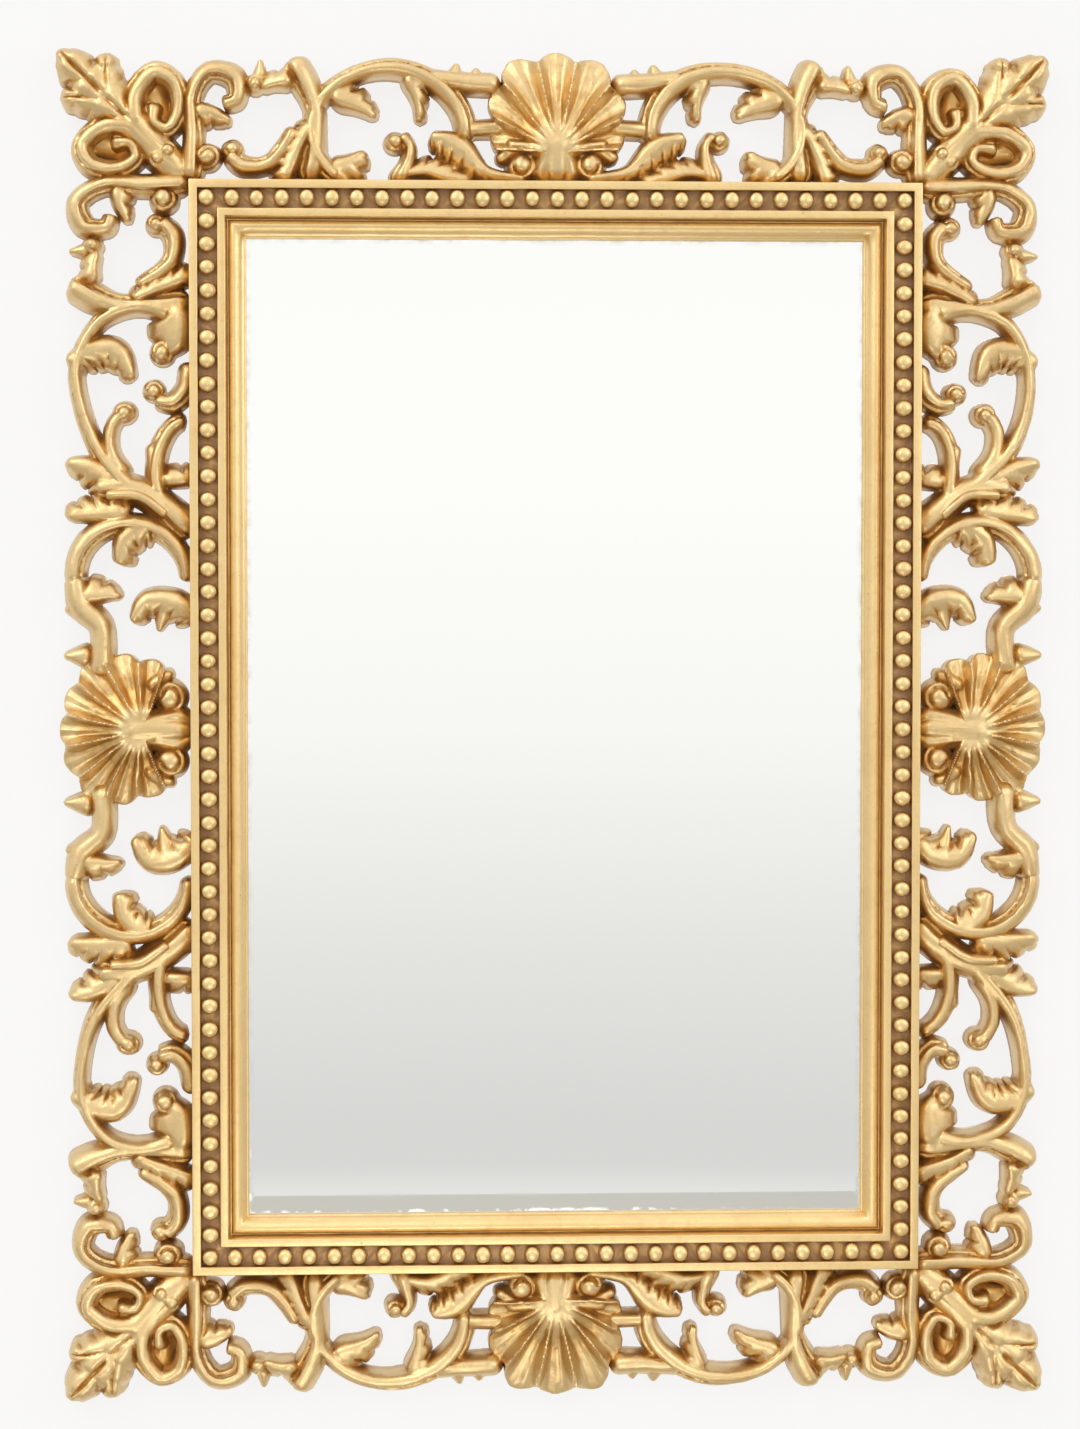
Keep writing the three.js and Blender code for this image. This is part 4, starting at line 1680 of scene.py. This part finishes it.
@dataclass(frozen=True)
class SilveredGlass:
    """A polished plate silvered behind, with a little age at its edges.

    Args:
        sight: Half the sight opening, across and up.
        name: The material's name.
        silver: The colour of the silvering.
        tarnish: Its colour where it has aged.
        aged: How far in from the sight edge the age reaches.
        polish: The roughness of the sound plate.
        clouding: The roughness that full age adds.
    """

    sight: Point
    name: str = "silvered plate"
    silver: Colour = (0.94, 0.95, 0.94, 1.0)
    tarnish: Colour = (0.8, 0.78, 0.72, 1.0)
    aged: float = 5 * MM
    polish: float = 0.008
    clouding: float = 0.25

    def material(self) -> bpy.types.Material:
        """Builds the material.

        Returns:
            The material.
        """
        material, nodes, shader = new_material(self.name)
        place = nodes.places()
        parts = nodes.add("ShaderNodeSeparateXYZ")
        nodes.feed(parts.inputs[0], place)
        margins = [
            nodes.calc("SUBTRACT", half, nodes.calc("ABSOLUTE", parts.outputs[axis]))
            for half, axis in zip(self.sight, "XZ")
        ]
        near = nodes.between(nodes.calc("MINIMUM", *margins), 0.0, self.aged, 1.0, 0.0)
        spots = nodes.between(nodes.noise(place, 12 * MM, 3.0, 0.5), 0.35, 0.75)
        age = nodes.calc("MULTIPLY", near, spots)
        smear = nodes.between(nodes.noise(place, 90 * MM, 3.0), 0.45, 0.75, 0.0, 0.012)
        nodes.feed(shader.inputs["Base Color"], nodes.blend(age, self.silver, self.tarnish))
        clouded = nodes.calc("MULTIPLY_ADD", age, self.clouding, self.polish)
        nodes.feed(shader.inputs["Roughness"], nodes.calc("ADD", smear, clouded))
        shader.inputs["Metallic"].default_value = 1.0
        return material


@dataclass(frozen=True)
class BareWood:
    """Planed softwood that was never finished.

    Args:
        name: The material's name.
        light: The colour of the pale wood.
        dark: The colour of the dark grain.
        grain_rise: How far the grain stands up.
    """

    name: str = "bare softwood"
    light: Colour = (0.46, 0.3, 0.16, 1.0)
    dark: Colour = (0.28, 0.16, 0.075, 1.0)
    grain_rise: float = 0.2 * MM

    def material(self, wood_group: bpy.types.NodeTree) -> bpy.types.Material:
        """Builds the material.

        Args:
            wood_group: The wood's grain.

        Returns:
            The material.
        """
        material, nodes, shader = new_material(self.name)
        grain = place_group(nodes, wood_group, {"Light": self.light, "Dark": self.dark})
        nodes.feed(shader.inputs["Base Color"], grain.outputs["Color"])
        nodes.feed(shader.inputs["Roughness"], grain.outputs["Roughness"])
        add_bump(nodes, shader, grain.outputs["Height"], self.grain_rise)
        return material


def dress(item: bpy.types.Object, material: bpy.types.Material) -> None:
    """Puts one material on all of an object.

    Args:
        item: The object.
        material: Its material.
    """
    if item.data.materials:
        for index in range(len(item.data.materials)):
            item.data.materials[index] = material
    else:
        item.data.materials.append(material)


# How strongly a bend counts as a crest, how often crests are softened, and the angle in degrees
# from which an edge is shaded sharp
CREST_GAIN = 1.6
CREST_SOFTENING = 3
SHARP_FROM = 48


def write_crests(item: bpy.types.Object) -> None:
    """Stores how far each place stands out from those round it, from 0 to 1.

    Args:
        item: The object that gets the attribute.
    """
    points, normals = vertices_of(item)
    ends = np.empty(len(item.data.edges) * 2, np.int32)
    item.data.edges.foreach_get("vertices", ends)
    a, b = ends.reshape(-1, 2).T
    count = np.bincount(a, minlength=len(points)) + np.bincount(b, minlength=len(points)) + 1e-9
    span = np.linalg.norm(points[a] - points[b], axis=1)
    lean_a = ((points[a] - points[b]) * normals[a]).sum(1) / (span + 1e-9)
    lean_b = ((points[b] - points[a]) * normals[b]).sum(1) / (span + 1e-9)
    bend = np.bincount(a, lean_a, len(points)) + np.bincount(b, lean_b, len(points))
    bend /= count
    for _ in range(CREST_SOFTENING):
        total = np.bincount(a, bend[b], len(points)) + np.bincount(b, bend[a], len(points))
        bend = 0.5 * bend + 0.5 * total / count
    write_layer(item, "crest", 0.5 + bend * CREST_GAIN)


def shade(item: bpy.types.Object) -> None:
    """Shades the object smooth, with its sharp edges kept."""
    item.data.polygons.foreach_set("use_smooth", [True] * len(item.data.polygons))
    item.data.set_sharp_from_angle(angle=math.radians(SHARP_FROM))


@dataclass(frozen=True)
class Lamp:
    """A soft square light that faces the mirror.

    Args:
        name: Its name.
        place: Where it hangs.
        size: Its width.
        power: Its power in watts.
        tint: Its colour.
    """

    name: str
    place: Triple
    size: float
    power: float
    tint: Triple = (1.0, 0.99, 0.97)

    def hang(self) -> None:
        """Puts the light in the scene."""
        data = bpy.data.lights.new(self.name, "AREA")
        data.shape, data.size, data.energy, data.color = "SQUARE", self.size, self.power, self.tint
        lamp = bpy.data.objects.new(self.name, data)
        lamp.location = self.place
        lamp.rotation_euler = (-Vector(self.place)).to_track_quat("-Z", "Y").to_euler()
        bpy.context.scene.collection.objects.link(lamp)


@dataclass
class Studio:
    """The wall that the mirror hangs on, a pale floor, soft light and the camera.

    Args:
        floor: The floor's height.
        floor_gap: How far below that the floor's sheet lies.
        floor_reach: How far the floor reaches before and behind the mirror.
        wall: The wall's place along Y.
        wall_width: The width of the wall and the floor.
        wall_height: The height of the wall above the floor.
        wall_paint: The wall's colour under its glow.
        wall_tint: The colour of its glow.
        wall_glow: How strongly it glows, so that it stays pale behind the carving.
        floor_paint: The floor's colour.
        sky: How bright the room is, from straight below to straight above, as places and strengths.
        sky_tint: The colour of its light.
        stand: Where the camera stands.
        lens: Its focal length in millimetres.
        film: The width of its film in millimetres.
        pitch: How far it looks up, in degrees.
        yaw: How far it looks to its left, in degrees.
        lamps: The soft lights.
    """

    floor: float = -1.0
    floor_gap: float = 2 * MM
    floor_reach: float = 3.48
    wall: float = 4 * MM
    wall_width: float = 7.0
    wall_height: float = 3.2
    wall_paint: Colour = (0.1, 0.1, 0.1, 1.0)
    wall_tint: Colour = (1.0, 0.996, 0.985, 1.0)
    wall_glow: float = 0.83
    floor_paint: Colour = (0.5, 0.485, 0.45, 1.0)
    sky: tuple[Point, ...] = (
        (0, 0.2),
        (0.38, 0.6),
        (0.4085, 0.8),
        (0.411, 0.84),
        (0.4128, 0.73),
        (0.42, 0.72),
        (0.445, 0.82),
        (0.479, 0.99),
        (0.52, 1.05),
        (0.7, 0.95),
        (1, 1.4),
    )
    sky_tint: Triple = (1.0, 0.995, 0.97)
    stand: Triple = (-0.134, -2.6, 0.109)
    lens: float = 83.63
    film: float = 36.0
    pitch: float = -2.164
    yaw: float = -2.69
    lamps: tuple[Lamp, ...] = (
        Lamp("key light", (-1.5, -1.9, 1.6), 1.6, 18),
        Lamp("fill light", (1.7, -1.9, 0.9), 1.6, 11, (0.97, 0.98, 1.0)),
        Lamp("low fill", (-0.1, -1.0, -0.85), 0.6, 2.5),
        Lamp("back light", (0.9, 2.2, 1.5), 1.5, 30),
    )

    def paint(self, name: str, colour: Colour, see_through: bool) -> bpy.types.Material:
        """Plain matt paint for the stage.

        Args:
            name: The material's name.
            colour: Its colour.
            see_through: Whether it glows, and is clear from behind and from close against it.

        Returns:
            The material.
        """
        material, nodes, shader = new_material(name)
        shader.inputs["Base Color"].default_value = colour
        shader.inputs["Roughness"].default_value = 0.9
        shader.inputs["Specular IOR Level"].default_value = 0.1
        if see_through:
            shader.inputs["Emission Color"].default_value = self.wall_tint
            shader.inputs["Emission Strength"].default_value = self.wall_glow
            output = material.node_tree.nodes["Material Output"]
            behind = nodes.add("ShaderNodeNewGeometry").outputs["Backfacing"]
            distance = nodes.add("ShaderNodeLightPath").outputs["Ray Length"]
            close = nodes.calc("LESS_THAN", distance, 3 * self.wall)
            mixer = nodes.add("ShaderNodeMixShader")
            nodes.feed(mixer.inputs[0], nodes.calc("MAXIMUM", behind, close))
            nodes.feed(mixer.inputs[1], shader.outputs[0])
            nodes.feed(mixer.inputs[2], nodes.add("ShaderNodeBsdfTransparent").outputs[0])
            nodes.feed(output.inputs["Surface"], mixer.outputs[0])
        return material

    def sheet(self, name: str, start: Point, end: Point) -> bpy.types.Object:
        """A flat sheet as wide as the wall.

        Args:
            name: The new object's name.
            start: The y and z of its first edge.
            end: The y and z of its far edge.

        Returns:
            The sheet, linked to the scene.
        """
        half = self.wall_width / 2
        points = [(x, y, z) for y, z in (start, end) for x in (-half, half)]
        mesh = bpy.data.meshes.new(name)
        mesh.from_pydata(points, [], [(0, 1, 3, 2)])
        sheet = bpy.data.objects.new(name, mesh)
        bpy.context.scene.collection.objects.link(sheet)
        return sheet

    def build_sky(self) -> None:
        """The light of a pale room: white above eye level and greyer below it."""
        world = bpy.data.worlds.new("pale room")
        bpy.context.scene.world = world
        world.use_nodes = True
        nodes = Nodes(world.node_tree)
        parts = nodes.add("ShaderNodeSeparateXYZ")
        nodes.feed(parts.inputs[0], nodes.add("ShaderNodeTexCoord").outputs["Generated"])
        ramp = nodes.add("ShaderNodeValToRGB")
        nodes.feed(ramp.inputs[0], nodes.calc("MULTIPLY_ADD", parts.outputs["Z"], 0.5, 0.5))
        marks = ramp.color_ramp.elements
        while len(marks) < len(self.sky):
            marks.new(0.5)
        for mark, (where, bright) in zip(marks, self.sky):
            mark.position = where
            mark.color = (*(bright * part for part in self.sky_tint), 1)
        background = world.node_tree.nodes["Background"]
        nodes.feed(background.inputs["Color"], ramp.outputs["Color"])
        background.inputs["Strength"].default_value = 1.0

    def build_camera(self) -> None:
        """The camera at the photograph's viewing angle."""
        data = bpy.data.cameras.new("camera")
        data.sensor_width, data.lens = self.film, self.lens
        camera = bpy.data.objects.new("camera", data)
        camera.location = self.stand
        camera.rotation_euler = (math.radians(90 + self.pitch), 0, math.radians(self.yaw))
        bpy.context.scene.collection.objects.link(camera)
        bpy.context.scene.camera = camera

    def build(self) -> None:
        """Sets up the whole studio."""
        top = self.floor + self.wall_height
        level = self.floor - self.floor_gap
        wall = self.sheet("wall", (self.wall, self.floor), (self.wall, top))
        floor = self.sheet("floor", (self.floor_reach, level), (-self.floor_reach, level))
        dress(wall, self.paint("wall paint", self.wall_paint, True))
        dress(floor, self.paint("floor paint", self.floor_paint, False))
        self.build_sky()
        for lamp in self.lamps:
            lamp.hang()
        self.build_camera()
        bpy.context.scene.view_settings.view_transform = "Standard"


def main() -> None:
    """Builds every piece in order, and reports each one."""
    logging.basicConfig(level=logging.INFO, format="%(name)s: %(message)s")
    Studio().build()
    moulding_low, moulding_high = (np.array(corner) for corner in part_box("sight_moulding"))
    plate_high = np.array(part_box("mirror_plate")[1])
    surround_low, surround_high = (np.array(corner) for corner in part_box("carved_surround"))
    outer = moulding_high[[0, 2]]
    glass = plate_high[[0, 2]]
    sight = glass - GLASS_LAP
    layout = Layout(outer, float(surround_high[0] - outer[0]), float(-surround_low[1]))
    back = float(-moulding_high[1])

    beaded = BeadedMoulding(sight, float(outer[0] - sight[0]), back)
    moulding = beaded.build()
    surround = CarvedSurround(layout, glass, back - FIT_GAP).build()
    trees = [tree_of(surround), tree_of(moulding)]
    # Occlusion on both pieces, which their gilding paints as shade; the moulding weights it toward its
    # channel.
    occlusion_shade = OcclusionShade()
    occlusion_shade.write(moulding, trees[1:], beaded.painted_shade_gain(moulding))
    occlusion_shade.write(surround, trees)

    leaf_group, wood_group = worn_and_shaded_leaf_group(), wood_grain_group()
    carved_gilding = Gilding("carved gilding")
    # The deep leaf and the dark brown here paint shade in the moulding's occluded places.
    moulding_gilding = Gilding(
        "moulding gilding",
        leaf=(0.84, 0.62, 0.295, 1.0),
        deep=(0.68, 0.43, 0.15, 1.0),
        shade_and_speck_brown=(0.3, 0.145, 0.042, 1.0),
        shade_from=0.25,
        shade_to=0.8,
        rub=0.2,
    )
    for piece, node, slot, gilding in (
        (surround, "carved_surround", "gilded_carving", carved_gilding),
        (moulding, "sight_moulding", "gilded_moulding", moulding_gilding),
    ):
        write_crests(piece)
        shade(piece)
        dress(piece, gilding.material(leaf_group, wood_group))
        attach(piece, "root")
        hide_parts(node)
        log.info("%s is done: %d vertices", piece.name, len(piece.data.vertices))
    glass_finish = SilveredGlass((float(sight[0]), float(sight[1])))
    dress(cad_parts["mirror_plate"], glass_finish.material())
    dress(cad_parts["backboard"], BareWood().material(wood_group))
    log.info("mirror_plate and backboard are dressed")


if __name__ == "__main__":
    main()
